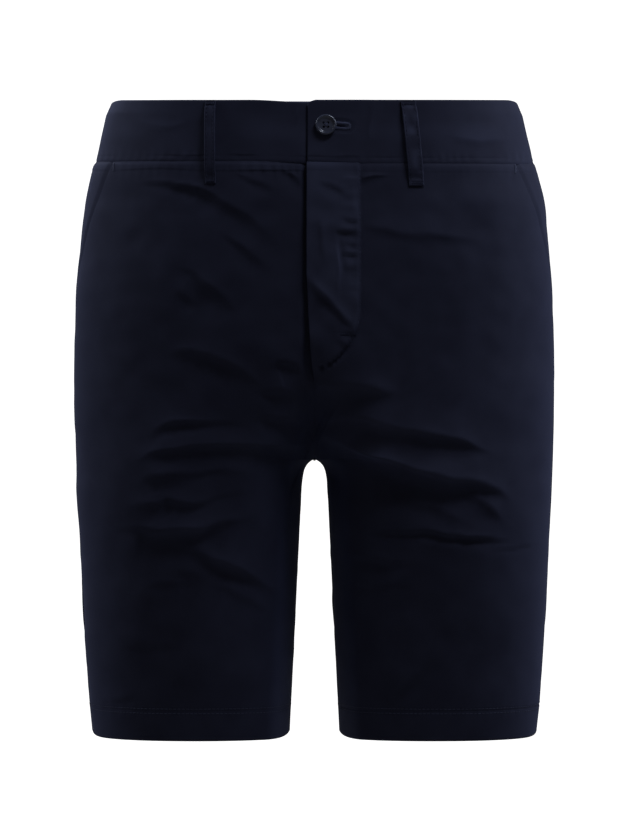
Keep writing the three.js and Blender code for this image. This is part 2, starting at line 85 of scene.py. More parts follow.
def blend(a, b, t):
    return a + (b - a) * t


def bump(v, centre, width):
    return np.exp(-(((v - centre) / width) ** 2))


def signedPower(v, power):
    return np.sign(v) * np.abs(v) ** power


# A size from the table at any height, on a smooth curve below the waistband.
def column(key, z):
    heights = np.array([row["z"] for row in sections], float)
    values = np.array([row[key] for row in sections], float)
    last = len(sections) - 1
    i = np.clip(np.searchsorted(-heights, -z, side="right") - 1, 0, last - 1)
    span = heights[i] - heights[i + 1]
    t = np.clip((heights[i] - z) / span, 0, 1)

    def slope(j):
        up, down = np.maximum(bandRows, j - 1), np.minimum(last, j + 1)
        return (values[down] - values[up]) / np.maximum(heights[up] - heights[down], 1e-6)

    curve = (
        values[i] * (2 * t**3 - 3 * t**2 + 1)
        + slope(i) * span * (t**3 - 2 * t**2 + t)
        + values[i + 1] * (3 * t**2 - 2 * t**3)
        + slope(i + 1) * span * (t**3 - t**2)
    )
    return np.where(i < bandRows, blend(values[i], values[i + 1], t), curve)


# The level cut at each height. The body parts at the fork, and below it each leg closes on its own.
def sectionAt(z):
    side, square = column("side", z), column("square", z)
    below = np.maximum(0, fork["point"] - z)
    archX = arch["half"] * (1 - np.exp(-below / arch["fall"])) ** arch["power"]
    spread = arch["spread"] * below
    drop = np.clip((fork["top"] - z) / (fork["top"] - fork["point"]), 0, 1)
    r = (1 - np.sqrt(1 - drop**2) ** square) ** (1 / square)
    edge = np.where(z > fork["point"], -side * (1 - r) / (1 + r), archX + spread)
    return {
        "side": side, "square": square, "arch": archX, "inner": np.maximum(0, edge),
        "forked": (side + edge) / 2, "forkedHalf": (side - edge) / 2,
        "leg": (side + spread) / 2, "legHalf": (side - spread) / 2,
        "bare": (side + np.where(below > 0, spread, edge)) / 2,
        "bareHalf": (side - np.where(below > 0, spread, edge)) / 2,
        "reachLeg": smooth(fork["top"], fork["point"], z),
        "depthLeg": smooth(fork["top"], fork["legs"], z),
        "open": z <= fork["point"],
        "front": column("front", z), "back": column("back", z),
    }


# How far from the centre line the outer face is, at a share of the way round to the side seam.
def reachAt(s, share):
    power = 2 / s["square"]
    body = s["side"] * signedPower(np.sin(np.pi / 2 * share), power)
    leg = s["leg"] - s["legHalf"] * signedPower(np.cos(np.pi * share), power)
    arched = leg + s["arch"] * (1 - smooth(0.1, 0.65, share))
    return blend(body, arched, s["reachLeg"])


# How far in front of the side seam it is at x, or behind it, as a share of the whole depth.
def profileAt(s, x):
    across, square = np.abs(x), s["square"]

    def rounded(centre, half):
        return signedPower(1 - np.abs((across - centre) / half) ** square, 1 / square)

    r = np.clip(s["forked"] / s["forkedHalf"], 0, 1)
    left = np.maximum(1e-6, 1 - r**square)
    steep = r ** (square - 1) * left ** ((1 - square) / square) / s["forkedHalf"]
    valley = 5 * left ** (1 / square) / (1 + 120 * steep)
    groove = np.where(s["open"] | (s["forked"] <= 0), 0, steep * (np.hypot(across, valley) - across))
    near = rounded(s["forked"], s["forkedHalf"]) + groove
    bare = rounded(s["bare"], s["bareHalf"]) + groove
    far = blend(rounded(0, s["side"]), rounded(s["leg"], s["legHalf"]), s["depthLeg"])
    inner = s["inner"]
    bare = blend(bare, far, smooth(inner, inner + 0.38 * s["side"], across))
    return blend(near, bare, smooth(inner + 2, inner + arch["local"], across))


# The waist rises behind, falls in front and dips where the right half goes under the lap.
def waistLift(x, q, z):
    fade = smooth(waist["fadeTo"], seamHeights["bandSeam"], z)
    up = smooth(seamHeights["bandSeam"], seamHeights["bandTop"], z)
    corner = waist["corner"] * np.maximum(0, 1 - np.abs(q) / 0.48) ** 1.3 * up
    back = fade * waist["backRise"] * smooth(0, 1, q) - corner
    front = blend(waist["frontSeam"], waist["frontTop"], up) * -q
    dip = np.where(x < 0, waist["lapDip"] * smooth(-52, -8, x) * up, 0)
    sag = waist["sag"] * smooth(-50, 40, x) * smooth(0, 0.6, -q) * (1 - up)
    return np.where(q >= 0, back, -fade * (front + sag) - dip - corner)


def normalsOf(points, flip):
    down = np.gradient(points, axis=0)
    along = np.gradient(points, axis=1)
    n = np.cross(down, along) * flip
    return n / np.maximum(np.linalg.norm(n, axis=2, keepdims=True), 1e-9)


# Small uneven swells, the same on each run.
def swell(x, z, size, seed):
    lattice = np.random.default_rng(seed).uniform(-1, 1, (64, 64))
    u, v = x / size + 200, z / size + 200
    i, j = np.floor(u).astype(int), np.floor(v).astype(int)
    fu, fv = u - i, v - j
    fu, fv = fu * fu * (3 - 2 * fu), fv * fv * (3 - 2 * fv)
    a, b = lattice[i % 64, j % 64], lattice[(i + 1) % 64, j % 64]
    c, d = lattice[i % 64, (j + 1) % 64], lattice[(i + 1) % 64, (j + 1) % 64]
    return blend(blend(a, b, fu), blend(c, d, fu), fv)


# Folds, placed one by one on each face as it is seen. A fold's line is its crest, and the cloth drops on
# the right of the line's direction, over its width at each point. The largest are also in the solids.
frontFolds = [
    {
        "line": [(-134, -41), (-115, -42), (-97, -45), (-81, -50), (-63, -62), (-50, -70), (-35, -85)],
        "width": [2, 3, 5, 7, 9, 11, 14], "drop": 2.2,
    },
    {"line": [(-72, -84.5), (-61, -91), (-48.5, -101), (-38, -110)], "width": [2, 5, 8, 9], "drop": 1.2},
    {
        "line": [(-103, -111), (-92, -116), (-83, -125), (-72, -134), (-61, -147)],
        "width": [2, 5, 8, 10, 10], "drop": 1.8,
    },
    {"line": [(-106, -129), (-98, -135), (-90, -143)], "width": [2, 4, 5], "drop": 0.7},
    {"line": [(-58, -33.5), (-45, -40), (-31, -46)], "width": [2, 4, 5], "drop": 0.9},
    {"line": [(-25, -30), (-17, -35), (-10, -43)], "width": [3, 4, 4], "drop": 0.9},
    {
        "line": [(-112, -178), (-101, -175.5), (-87.5, -178.5), (-75, -182.5), (-58, -190), (-45, -200)],
        "width": [4, 9, 9, 9, 8, 5], "drop": 1.5,
    },
    {
        "line": [(-126, -245), (-122, -237), (-114, -233), (-103, -231), (-89, -232.5), (-58, -231.5)],
        "width": [3, 5, 5, 4, 3.5, 5], "drop": 1.4,
    },
    {
        "line": [
            (-132, -260), (-126, -256.5), (-120, -254.5), (-111, -254), (-101, -251), (-89, -249.5),
            (-58, -250), (-34, -250), (-11, -250), (3, -253),
        ],
        "width": [5, 8, 9, 8, 9, 9, 8, 10, 14, 14], "drop": 2.5,
    },
    {
        "line": [(-133, -277.5), (-128, -274.5), (-118, -273), (-92, -271.5), (-77, -270), (-58, -270)],
        "width": [4, 10, 12, 4, 4, 5], "drop": 1.7,
    },
    {
        "line": [
            (-140, -297), (-132, -295.5), (-120, -294), (-114, -290.5), (-108, -293), (-97, -294.5),
            (-86, -294), (-75, -290.5), (-59, -285),
        ],
        "width": [3, 8, 9, 8, 7, 7, 5, 4, 4], "drop": 1.8,
    },
    {
        "line": [
            (-150, -315.5), (-137, -314), (-128, -316.5), (-116, -317), (-104, -315.5), (-89, -315),
            (-80, -311), (-69, -308.5), (-56, -307),
        ],
        "width": [3, 7, 9, 10, 10, 10, 9, 7, 6], "drop": 3.2,
    },
    {
        "line": [
            (-108, -326), (-97, -330), (-84, -336), (-72, -340.5), (-59, -346), (-50, -351.5),
            (-41, -357.5), (-30, -364.5),
        ],
        "width": [5, 7, 8, 9, 9, 9, 9, 8], "drop": 2.3,
    },
    {"line": [(-108, -347.5), (-97, -348), (-84, -353)], "width": [6, 14, 10], "drop": 1.2},
    {
        "line": [(-80, -359), (-67, -362), (-55, -368.5), (-42, -375.5), (-35, -380)],
        "width": [5, 7, 7, 7, 4], "drop": 1.1,
    },
    {"line": [(-128, -358), (-118, -357.5), (-106, -358.5)], "width": [4, 6, 4], "drop": 0.7},
    {"line": [(-145, -406.5), (-128, -406), (-111, -406)], "width": [4, 5, 4], "drop": 0.6},
    {"line": [(-167, -451), (-157, -450), (-148, -449), (-143, -447)], "width": [3, 4, 4, 3], "drop": 0.8},
    {"line": [(-41, -209), (-33, -208), (-24, -208), (-14, -213)], "width": [3, 6, 7, 6], "drop": 1.6},
    {
        "line": [(-36, -189), (-28, -185), (-21, -186), (-11, -190), (-3.5, -196.5)],
        "width": [4, 7, 8, 9, 8], "drop": 1.5,
    },
    {"line": [(-44, -230), (-31, -229), (-17, -230), (-8, -234)], "width": [4, 6, 7, 6], "drop": 1.6},
    {
        "line": [(1, -204), (14, -203), (28, -203.5), (42, -205), (54, -207.5), (64, -209)],
        "width": [9, 11, 11, 10, 8, 6], "drop": 1.7,
    },
    {
        "line": [(-8, -202), (4, -204), (14, -207), (22, -211)],
        "width": [30, 38, 38, 30], "drop": 2.6, "rise": 0.1,
    },
    {
        "line": [
            (8, -231), (20, -229), (35, -229), (51, -231.5), (66, -236), (82, -239.5), (98, -241.5),
            (113, -245), (121, -248.5), (130, -252.5),
        ],
        "width": [8, 8, 9, 12, 13, 12, 11, 9, 7, 4], "drop": 3.1,
    },
    {
        "line": [
            (6, -241), (18, -247), (31, -252), (43, -256.5), (55, -260.5), (66, -264), (82, -269.5),
            (98, -274.5), (109, -277.5), (125, -278.5), (137, -282), (146, -287.5),
        ],
        "width": [10, 12, 16, 18, 18, 18, 16, 14, 12, 9, 8, 5], "drop": 6,
    },
    {
        "line": [(74, -295.5), (86, -296), (94, -297.5), (102, -302.5), (112, -307)],
        "width": [5, 8, 9, 9, 6], "drop": 1.6,
    },
    {"line": [(121, -287), (130, -293), (138, -300), (146, -308)], "width": [6, 9, 9, 5], "drop": 1.6},
    {
        "line": [
            (45, -316.5), (59, -316.5), (74, -316.5), (90, -317), (101, -319.5), (113, -321), (127, -322),
            (138, -323.5), (149, -324),
        ],
        "width": [2, 2.6, 3, 3, 3, 3, 3, 3, 2], "drop": 1.6,
    },
    {"line": [(137, -330.5), (156, -330.5), (166, -329), (175, -328)], "width": [2, 2, 2, 2], "drop": 0.5},
    {
        "line": [(37, -76.5), (49, -79), (66, -83), (86, -84), (109, -86.5), (124, -89)],
        "width": [5, 7, 8, 8, 7, 5], "drop": 0.9,
    },
    {"line": [(29, -37), (37, -36), (46, -33.5), (56, -33)], "width": [5, 5, 4, 2], "drop": 1},
    {"line": [(27, -338), (47, -337.5), (60, -339), (73, -341.5)], "width": [4, 6, 7, 5], "drop": 0.9},
    {"line": [(31, -358.5), (55, -358.5), (78, -357.5)], "width": [4, 6, 4], "drop": 0.6},
    {"line": [(63, -448.5), (70, -441), (78, -430), (90, -420.5)], "width": [4, 5, 5, 3], "drop": 0.6},
]
backFolds = [
    {"line": [(-126, -228), (-92, -242), (-52, -247), (-14, -240)], "width": [3, 8, 9, 6], "drop": 2.6},
    {"line": [(-138, -256), (-104, -270), (-60, -277), (-20, -266)], "width": [4, 9, 12, 8], "drop": 3},
    {"line": [(-140, -296), (-100, -309), (-62, -308), (-38, -298)], "width": [3, 8, 8, 5], "drop": 1.8},
    {"line": [(14, -242), (46, -246), (86, -240), (124, -224)], "width": [6, 9, 8, 3], "drop": 2.6},
    {"line": [(22, -270), (64, -280), (106, -274), (138, -262)], "width": [8, 12, 9, 4], "drop": 2.8},
    {"line": [(36, -303), (70, -312), (104, -310), (136, -300)], "width": [5, 8, 8, 3], "drop": 1.8},
    {"line": [(-104, -64), (-78, -72), (-50, -70), (-22, -58)], "width": [2, 6, 7, 4], "drop": 0.9},
    {"line": [(20, -54), (48, -64), (74, -64), (98, -58)], "width": [3, 6, 6, 2], "drop": 0.9},
    {"line": [(-98, -346), (-76, -356), (-54, -364), (-36, -368)], "width": [3, 7, 7, 4], "drop": 1.2},
    {"line": [(52, -340), (78, -352), (100, -358), (122, -358)], "width": [3, 7, 7, 4], "drop": 1.2},
    {"line": [(-60, -196), (-40, -204), (-20, -206), (-8, -202)], "width": [3, 6, 7, 6], "drop": 1},
    {"line": [(8, -198), (22, -204), (44, -206), (66, -200)], "width": [6, 7, 6, 3], "drop": 1},
]
# On the fly's left side the layers hold the main folds flat, and it has its own.
flyFolds = [
    {
        "line": [(-4, -121), (3, -129), (12, -138), (20, -149), (30, -160)],
        "width": [5, 7, 6, 5, 3.5], "drop": 2,
    },
    {"line": [(3, -39), (14, -42), (24, -49.5)], "width": [3, 4, 4], "drop": 1},
    {"line": [(6, -74), (7, -90), (8, -106)], "width": [3, 5, 4], "drop": 0.8},
    {"line": [(20, -37.5), (27, -37), (34, -37.8)], "width": [2, 2.6, 2], "drop": 0.8},
    {"line": [(24, -41.6), (34, -42)], "width": [2, 2], "drop": 0.5},
    {"line": [(22, -70), (28, -71), (34, -70.6)], "width": [2, 3, 2.4], "drop": 0.8},
    {"line": [(17, -80), (26, -80.6), (34, -82)], "width": [3, 4, 3], "drop": 1.1},
    {"line": [(26, -92.4), (34, -93)], "width": [2, 2.4], "drop": 0.7},
    {"line": [(22, -100), (28, -99.4), (34, -99.8)], "width": [2, 3, 2.6], "drop": 0.9},
    {"line": [(21, -113), (28, -112), (35, -111.4)], "width": [3, 4, 3], "drop": 0.7},
    {"line": [(25, -128), (34, -127.4)], "width": [2, 3], "drop": 0.5},
    {"line": [(18.6, -133), (18.4, -112), (18.6, -90)], "width": [2, 2.6, 2], "drop": 1.3},
    {"line": [(19, -163.5), (25, -163), (32, -164)], "width": [2, 2.6, 2], "drop": 1},
    {"line": [(16, -170), (22, -171), (27, -174)], "width": [2, 3, 2], "drop": 0.8},
]
wander = {"size": 19, "shift": 1.3, "fineSize": 8, "fineShift": 0.6, "uneven": 0.35}


# A smooth curve through points, at places counted in points.
def curveThrough(points, place):
    points = np.asarray(points, float)
    last = len(points) - 1
    i = np.clip(place.astype(int), 0, last - 1)
    t = (place - i)[:, None]
    before, a = points[np.maximum(i - 1, 0)], points[i]
    b, after = points[i + 1], points[np.minimum(i + 2, last)]
    bend = 2 * before - 5 * a + 4 * b - after + t * (3 * (a - b) + after - before)
    return a + t / 2 * (b - before + t * bend)


# The height of all folds at each x and z. rise is the share of the drop that stands up at the crest.
def foldRelief(folds, x, z):
    total = np.zeros_like(x)
    uneven = 1 + wander["uneven"] * swell(x, z, 24, 73)
    x, z = (
        v + wander["shift"] * swell(x, z, wander["size"], seed)
        + wander["fineShift"] * swell(x, z, wander["fineSize"], seed + 5)
        for v, seed in ((x, 61), (z, 62))
    )
    for fold in folds:
        count = len(fold["line"]) - 1
        place = np.linspace(0, count, 4 * count + 1)
        cx, cz = curveThrough(fold["line"], place).T
        widths = np.interp(place, np.arange(count + 1), fold["width"])
        reach = 4 * max(fold["width"])
        near = (x > cx.min() - reach) & (x < cx.max() + reach)
        near = near & (z > cz.min() - reach) & (z < cz.max() + reach)
        if not near.any():
            continue
        px, pz = x[near], z[near]
        best, width = np.full(px.shape, 1e9), np.ones_like(px)
        along, above, beyond = np.zeros_like(px), np.zeros_like(px), np.zeros_like(px)
        for k in range(len(place) - 1):
            sx, sz = cx[k + 1] - cx[k], cz[k + 1] - cz[k]
            length = np.hypot(sx, sz)
            full = ((px - cx[k]) * sx + (pz - cz[k]) * sz) / length**2
            part = np.clip(full, 0, 1)
            dx, dz = px - cx[k] - part * sx, pz - cz[k] - part * sz
            away = np.hypot(dx, dz)
            past = np.maximum(-full if k == 0 else 0, full - 1 if k == len(place) - 2 else 0) * length
            off = np.sqrt(np.maximum(away**2 - past**2, 0))
            closer = away < best
            best = np.where(closer, away, best)
            along = np.where(closer, (k + part) / (len(place) - 1), along)
            beyond = np.where(closer, past, beyond)
            width = np.where(closer, blend(widths[k], widths[k + 1], part), width)
            above = np.where(closer, np.where(sx * dz - sz * dx >= 0, off, -off), above)
        down = -above / width
        rise = fold.get("rise", 0.5)
        fallen = (rise - 1) * bump(down, 1, 1.3)
        under = np.where(down < 1, rise - 1 + np.clip(1 - down, 0, 1) ** 1.8, fallen)
        over = rise * np.exp(-np.maximum(above, 0) / (1.3 * width))
        taper = np.sin(np.pi * (0.04 + 0.92 * along)) ** 0.85
        taper = taper * bump(beyond, 0, 0.9 * width + 2)
        strength = (width / max(fold["width"])) ** 0.5
        total[near] += fold["drop"] * taper * strength * np.where(above > 0, over, under)
    return total * uneven


# The fly's curved stitch line, by height.
def flyEdgeX(z):
    low = np.clip((fly["curveTop"] - z) / (fly["curveTop"] - fly["stitchEnd"]), 0, 1)
    return fly["stitchX"] * np.maximum(0, 1 - low ** fly["curve"]) ** (1 / fly["curve"])


# A panel without its relief, by shares of the way round and heights. side is 1 for the wearer's left.
def bareFace(side, face, share, z):
    s = sectionAt(z)
    x = reachAt(s, share)
    sign = -1 if face == "front" else 1
    if face == "front":
        opened = np.clip((z - fly["end"]) / fly["closing"], 0, 1) ** 0.6
        covered = smooth(fly["end"] + 14, fly["end"] + 28, z)
        past = fly["lap"] * opened if side > 0 else fly["under"] * covered
        x = x - past * np.maximum(0, 1 - x / 30)
    q = sign * np.maximum(0, profileAt(s, x))
    return np.stack([side * x, s[face] * q, z + 0 * x], axis=-1), q


puckers = {"pitch": 7.5, "height": 0.16, "flyPitch": 9.5, "flyHeight": 0.16, "flyRumple": 0.55}
relief = {
    "seamRoll": 0.4, "seamRidge": 0.1, "ridgeAt": 3.4, "allowance": 6.4, "allowanceStep": 0.42,
    "seamGroove": 0.6, "flyGroove": 0.25, "flyGrooveLow": 1.1, "hemRows": [-457, -460.6],
    "hemGroove": 0.14, "hemDip": 0.3, "hemWave": 0.1, "hemPitch": 8.5,
    "folds": 2.1, "broad": 0.62, "fine": 0.2, "worn": 0.1,
}
flyLightAndWear = {"patch": 0.38, "x": -4, "z": -124, "slope": 0.98}  # painted light, lighter above a line that slants down along the fly's diagonal fold, with some wear
hemRise = {"height": 2.6, "width": 24, "from": -430}  # at the side and inner seams


# The left front's raised fly, and the right front sinking under it.
def frontDetail(side, x, z):
    out = 0 * x
    if side > 0:
        edge = flyEdgeX(z)
        within = np.where(z < fly["stitchEnd"], 0, 1)
        out = out + fly["raise"] * within * (1 - smooth(-1.2, 1.0, x - edge))
        wave = np.sin(2 * np.pi * (z / puckers["flyPitch"] + 1.1 * swell(x, z, 22, 5)))
        wave = wave * np.clip(0.25 + 1.1 * np.abs(swell(x * 0.5, z, 17, 6)), 0, 1)
        along = smooth(-125, -105, z) * smooth(-30, -42, z)
        out = out + puckers["flyHeight"] * wave * along * within * bump(x, edge - 8, 8)
        low = smooth(-158, -176, z)
        groove = relief["flyGroove"] + relief["flyGrooveLow"] * low
        out = out - groove * within * bump(x, edge, 1 + 0.8 * low)
        out = out + puckers["flyRumple"] * within * swell(x, z, 15, 81) * (1 - smooth(-6, 0, x - edge))
    else:
        beside = 0.5 * (1 - smooth(6.4, 11, x)) + 0.5 * (1 - smooth(8, 44, x))
        out = out - fly["sink"] * beside * smooth(fly["end"] - 8, fly["end"] + 8, z)
    return out


# Where the main folds show. They die away at the waist, the side and inner seams, and under the fly.
def foldWindow(side, face, share, x, z):
    within = (1 - smooth(0.86, 0.99, share)) * smooth(-28, -36, z)
    inner = np.maximum(0, reachAt(sectionAt(z), 0 * z))
    legs = smooth(-236, -254, z)
    within = within * (1 - legs * (1 - smooth(0, 9, x - inner)))
    within = within * (1 - bump(z, -264, 13) * (1 - smooth(0, 32, x - inner)))
    if face == "back":
        return within
    if side > 0:
        layers = (1 - smooth(-1, 3, x - flyEdgeX(z))) * smooth(-200, -190, z)
    else:
        layers = (1 - smooth(2, 7, x)) * smooth(-206, -194, z)
    return within * (1 - layers)


# How far the cloth stands off its bare face: creases, seams, puckers and the hem's stitching.
def clothRelief(side, face, share, x, z):
    signed = side * x
    within = foldWindow(side, face, share, x, z)
    folds = within * foldRelief(frontFolds if face == "front" else backFolds, signed, z)
    out = 0 * x
    calm = smooth(-34, -60, z) * (0.35 + 0.65 * smooth(seamHeights["hemStitch"], -430, z))
    seed = 11 if face == "front" else 12
    folds = folds + calm * relief["broad"] * swell(signed, z, 42, seed) * smooth(0, 0.05, share)
    folds = folds + calm * relief["fine"] * swell(signed, z, 13, seed + 2)
    below = seamHeights["bandSeam"] - z
    out = out - relief["seamRoll"] * bump(below, 0, 1.1)
    out = out + relief["seamRidge"] * bump(below, relief["ridgeAt"], 2.2)
    strength = 0.2 + 0.8 * np.abs(swell(signed, z * 0, 36, 22))
    strength = strength + (face == "front") * bump(signed, -42, 30)
    edge = relief["allowance"] + 1.3 * swell(signed, z * 0, 40, 23)
    flat = 0.6 * (face == "front") * (side > 0) * (1 - smooth(30, 40, x))
    strength = strength * (1 - flat)
    step = relief["allowanceStep"] * strength
    out = out + step * (1 - smooth(-0.9, 0.9, below - edge)) * smooth(0, 3, below)
    wave = np.sin(2 * np.pi * (signed / puckers["pitch"] + 1.3 * swell(signed, z * 0, 30, 21)))
    out = out + puckers["height"] * strength * wave * bump(below, 7, 6)
    for at in relief["hemRows"]:
        out = out - relief["hemGroove"] * bump(z, at, 0.7)
    out = out - relief["hemDip"] * bump(z, sum(relief["hemRows"]) / 2, 0.9)
    tail = np.sin(2 * np.pi * (signed / relief["hemPitch"] + 1.1 * swell(signed, z * 0, 33, 31)))
    out = out + relief["hemWave"] * tail * bump(z, -459, 7)
    length = cloth["girth"] * share
    joined = 1 - (smooth(fly["end"] - 2, fly["end"] + 4, z) if face == "front" else 0)
    crotch = np.abs(smooth(-225, -250, z) - smooth(-272, -292, z))
    inSeam = bump(length, 0, 1.3) * joined * (1 - crotch)
    out = out - relief["seamGroove"] * (inSeam + bump(cloth["girth"] - length, 0, 1.6))
    if face == "front":
        folds = folds + frontDetail(side, x, z)
        if side > 0:
            layers = (1 - smooth(-1, 3, x - flyEdgeX(z))) * smooth(-200, -190, z) * smooth(-28, -36, z)
            folds = folds + layers * foldRelief(flyFolds, signed, z)
    folds = folds * relief["folds"]
    # The second value lightens the colour: wear on the seams, the seam allowance and the hem, and painted
    # light on the crests of folds and on the fly's raised parts.
    return out + folds, 0.4 * out + relief["worn"] * np.maximum(folds, 0)


# A panel's outer face and its outward direction at any shares and heights.
def panelFace(side, face, share, z, sunk=0):
    share, z = np.broadcast_arrays(np.asarray(share, float), np.asarray(z, float))
    flat, q = bareFace(side, face, share, z)
    sign = -1 if face == "front" else 1
    along = bareFace(side, face, share + 0.003, z)[0] - bareFace(side, face, share - 0.003, z)[0]
    down = bareFace(side, face, share, z - 0.4)[0] - bareFace(side, face, share, z + 0.4)[0]
    normal = np.cross(down, along) * side * -sign
    normal = normal / np.maximum(np.linalg.norm(normal, axis=-1, keepdims=True), 1e-9)
    x = side * flat[..., 0]
    out, worn = clothRelief(side, face, share, x, z)
    # The fly is painted lighter above its diagonal fold, as if lit, and left darker below it, where the
    # fold's shade falls. The patches in it stand for some wear too.
    if face == "front" and side > 0:
        above = smooth(-4, 4, (z - flyLightAndWear["z"]) + flyLightAndWear["slope"] * (x - flyLightAndWear["x"]))
        patchy = flyLightAndWear["patch"] * (1 + 0.5 * swell(x, z, 12, 83)) * above
        worn = worn + patchy * np.where(z < fly["end"], 0, 1 - smooth(-3, 0, x - flyEdgeX(z)))
    points = flat + normal * (out - sunk)[..., None]
    points[..., 2] += waistLift(side * x, q, z)
    low = smooth(hemRise["from"], seamHeights["hemEdge"], z)
    points[..., 2] += hemRise["height"] * bump(flat[..., 1], 0, hemRise["width"]) * low
    points[..., 0] += side * cloth["seamGap"] / 2
    points[..., 1] += sign * cloth["seamGap"] / 2
    return points, normal, worn


# The share of the way round at which a panel is so far from the centre line.
def shareAt(x, z, side):
    shares = np.linspace(-0.05, 1, 600)
    result = []
    for a, b in np.broadcast(x, z):
        reach = bareFace(side, "front", shares, np.full(600, float(b)))[0][:, 0] * side
        result.append(np.interp(a, reach, shares))
    return np.array(result)


# Faces between rings of numbered points, each ring closed.
def ringFaces(index):
    turned = np.roll(index, -1, axis=1)
    return np.stack([index[:-1], turned[:-1], turned[1:], index[1:]], axis=2).reshape(-1, 4).tolist()


# The same for a tube that is closed at both ends. first is the number of its first point.
def tubeFaces(rings, around, first=0):
    index = first + np.arange(rings * around).reshape(rings, around)
    return [*ringFaces(index), index[0][::-1].tolist(), index[-1].tolist()]


# A closed shell of cloth from two grids of points, with rounded rims. weave holds the place of each point
# in the flat cloth, in millimetres, and how far it stands up or lies down. Where that is high the colour
# is made lighter: wear on seams and edges, and painted light on crests.
def shellMesh(name, outer, inner, weave, rimSteps=3):
    def rimRows(edgeOuter, edgeInner, beforeOuter):
        middle = (edgeOuter + edgeInner) / 2
        half = np.linalg.norm(edgeOuter - edgeInner, axis=1, keepdims=True) / 2
        away = edgeOuter - beforeOuter
        away = away / np.maximum(np.linalg.norm(away, axis=1, keepdims=True), 1e-9)
        rows = []
        for k in range(1, rimSteps + 1):
            turn = math.pi / 2 * k / (rimSteps + 0.5)
            bulge = away * half * math.sin(turn)
            rows.append((
                middle + (edgeOuter - middle) * math.cos(turn) + bulge,
                middle + (edgeInner - middle) * math.cos(turn) + bulge,
            ))
        return rows

    top = rimRows(outer[0], inner[0], outer[1])[::-1]
    foot = rimRows(outer[-1], inner[-1], outer[-2])
    outer = np.concatenate([[a for a, _ in top], outer, [a for a, _ in foot]])
    inner = np.concatenate([[b for _, b in top], inner, [b for _, b in foot]])
    weave = np.concatenate([[weave[0]] * rimSteps, weave, [weave[-1]] * rimSteps])
    right = rimRows(outer[:, -1], inner[:, -1], outer[:, -2])
    left = rimRows(outer[:, 0], inner[:, 0], outer[:, 1])
    rightRim = [a for a, _ in right] + [b for _, b in right][::-1]
    leftRim = [b for _, b in left] + [a for a, _ in left][::-1]
    ring = np.concatenate([outer, np.stack(rightRim, 1), inner[:, ::-1], np.stack(leftRim, 1)], axis=1)
    rim = 2 * rimSteps
    ends = [np.repeat(weave[:, -1:], rim, axis=1), np.repeat(weave[:, :1], rim, axis=1)]
    weave = np.concatenate([weave, ends[0], weave[:, ::-1], ends[1]], axis=1)
    rows, around = ring.shape[:2]
    index = np.arange(rows * around).reshape(rows, around)
    faces = ringFaces(index)
    across = outer.shape[1]
    for row, order in ((index[0], 1), (index[-1], -1)):
        back = row[across + rim : 2 * across + rim][::-1]
        caps = [[row[j + 1], row[j], back[j], back[j + 1]] for j in range(across - 1)]
        caps.append([row[across - 1], *row[across : across + rim], back[-1]][::-1])
        caps.append([*row[2 * across + rim :], row[0], back[0]][::-1])
        faces += [[int(v) for v in cap][::order] for cap in caps]
    return meshPiece(name, ring.reshape(-1, 3), faces, weave.reshape(-1, 3))


def meshPiece(name, points, faces, weave=None):
    mesh = bpy.data.meshes.new(name)
    mesh.from_pydata((np.asarray(points) * mm).tolist(), [], faces)
    if weave is not None:
        layer = mesh.attributes.new("weave", "FLOAT_VECTOR", "POINT")
        layer.data.foreach_set("vector", np.asarray(weave, np.float32).ravel())
    if signedVolume(mesh) < 0:
        mesh.flip_normals()
    mesh.shade_smooth()
    piece = bpy.data.objects.new(name, mesh)
    bpy.context.collection.objects.link(piece)
    return piece


def signedVolume(mesh):
    mesh.calc_loop_triangles()
    points = np.zeros(len(mesh.vertices) * 3)
    mesh.vertices.foreach_get("co", points)
    triangles = np.zeros(len(mesh.loop_triangles) * 3, int)
    mesh.loop_triangles.foreach_get("vertices", triangles)
    a, b, c = np.moveaxis(points.reshape(-1, 3)[triangles.reshape(-1, 3)], 1, 0)
    return (a * np.cross(b, c)).sum() / 6


# Shader nodes
class Value:
    def __init__(self, maker, socket):
        self.maker, self.socket = maker, socket

    def maths(self, operation, *values):
        return self.maker.node("ShaderNodeMath", {"operation": operation}, dict(enumerate(values)))

    def __add__(self, other):
        return self.maths("ADD", self, other)

    def __sub__(self, other):
        return self.maths("SUBTRACT", self, other)

    def __mul__(self, other):
        return self.maths("MULTIPLY", self, other)

    def __rsub__(self, other):
        return self.maths("SUBTRACT", other, self)

    __radd__, __rmul__ = __add__, __mul__

    def wave(self):
        return self.maths("SINE", self)

    def part(self, number):
        return Value(self.maker, self.socket.node.outputs[number])


class Finish:
    def __init__(self, name):
        self.material = bpy.data.materials.new(name)
        self.material.use_nodes = True
        self.tree = self.material.node_tree
        self.shader = self.tree.nodes["Principled BSDF"]

    def node(self, kind, settings=(), inputs=(), output=0):
        made = self.tree.nodes.new(kind)
        for key, value in dict(settings).items():
            setattr(made, key, value)
        for key, value in dict(inputs).items():
            self.plug(made.inputs[key], value)
        return Value(self, made.outputs[output])

    def plug(self, socket, value):
        if isinstance(value, Value):
            self.tree.links.new(value.socket, socket)
        else:
            socket.default_value = value

    def mix(self, share, first, second):
        inputs = {0: share, 6: first, 7: second}
        return self.node("ShaderNodeMix", {"data_type": "RGBA"}, inputs, output=2)

    def noise(self, vector, scale, detail=3.0):
        inputs = {"Vector": vector, "Scale": scale, "Detail": detail}
        return self.node("ShaderNodeTexNoise", inputs=inputs)

    def ramp(self, value, low, high, most):
        inputs = {"Value": value, "From Min": low, "From Max": high, "To Max": most}
        return self.node("ShaderNodeMapRange", inputs=inputs)

    def set(self, **values):
        for key, value in values.items():
            self.plug(self.shader.inputs[key.replace("_", " ")], value)


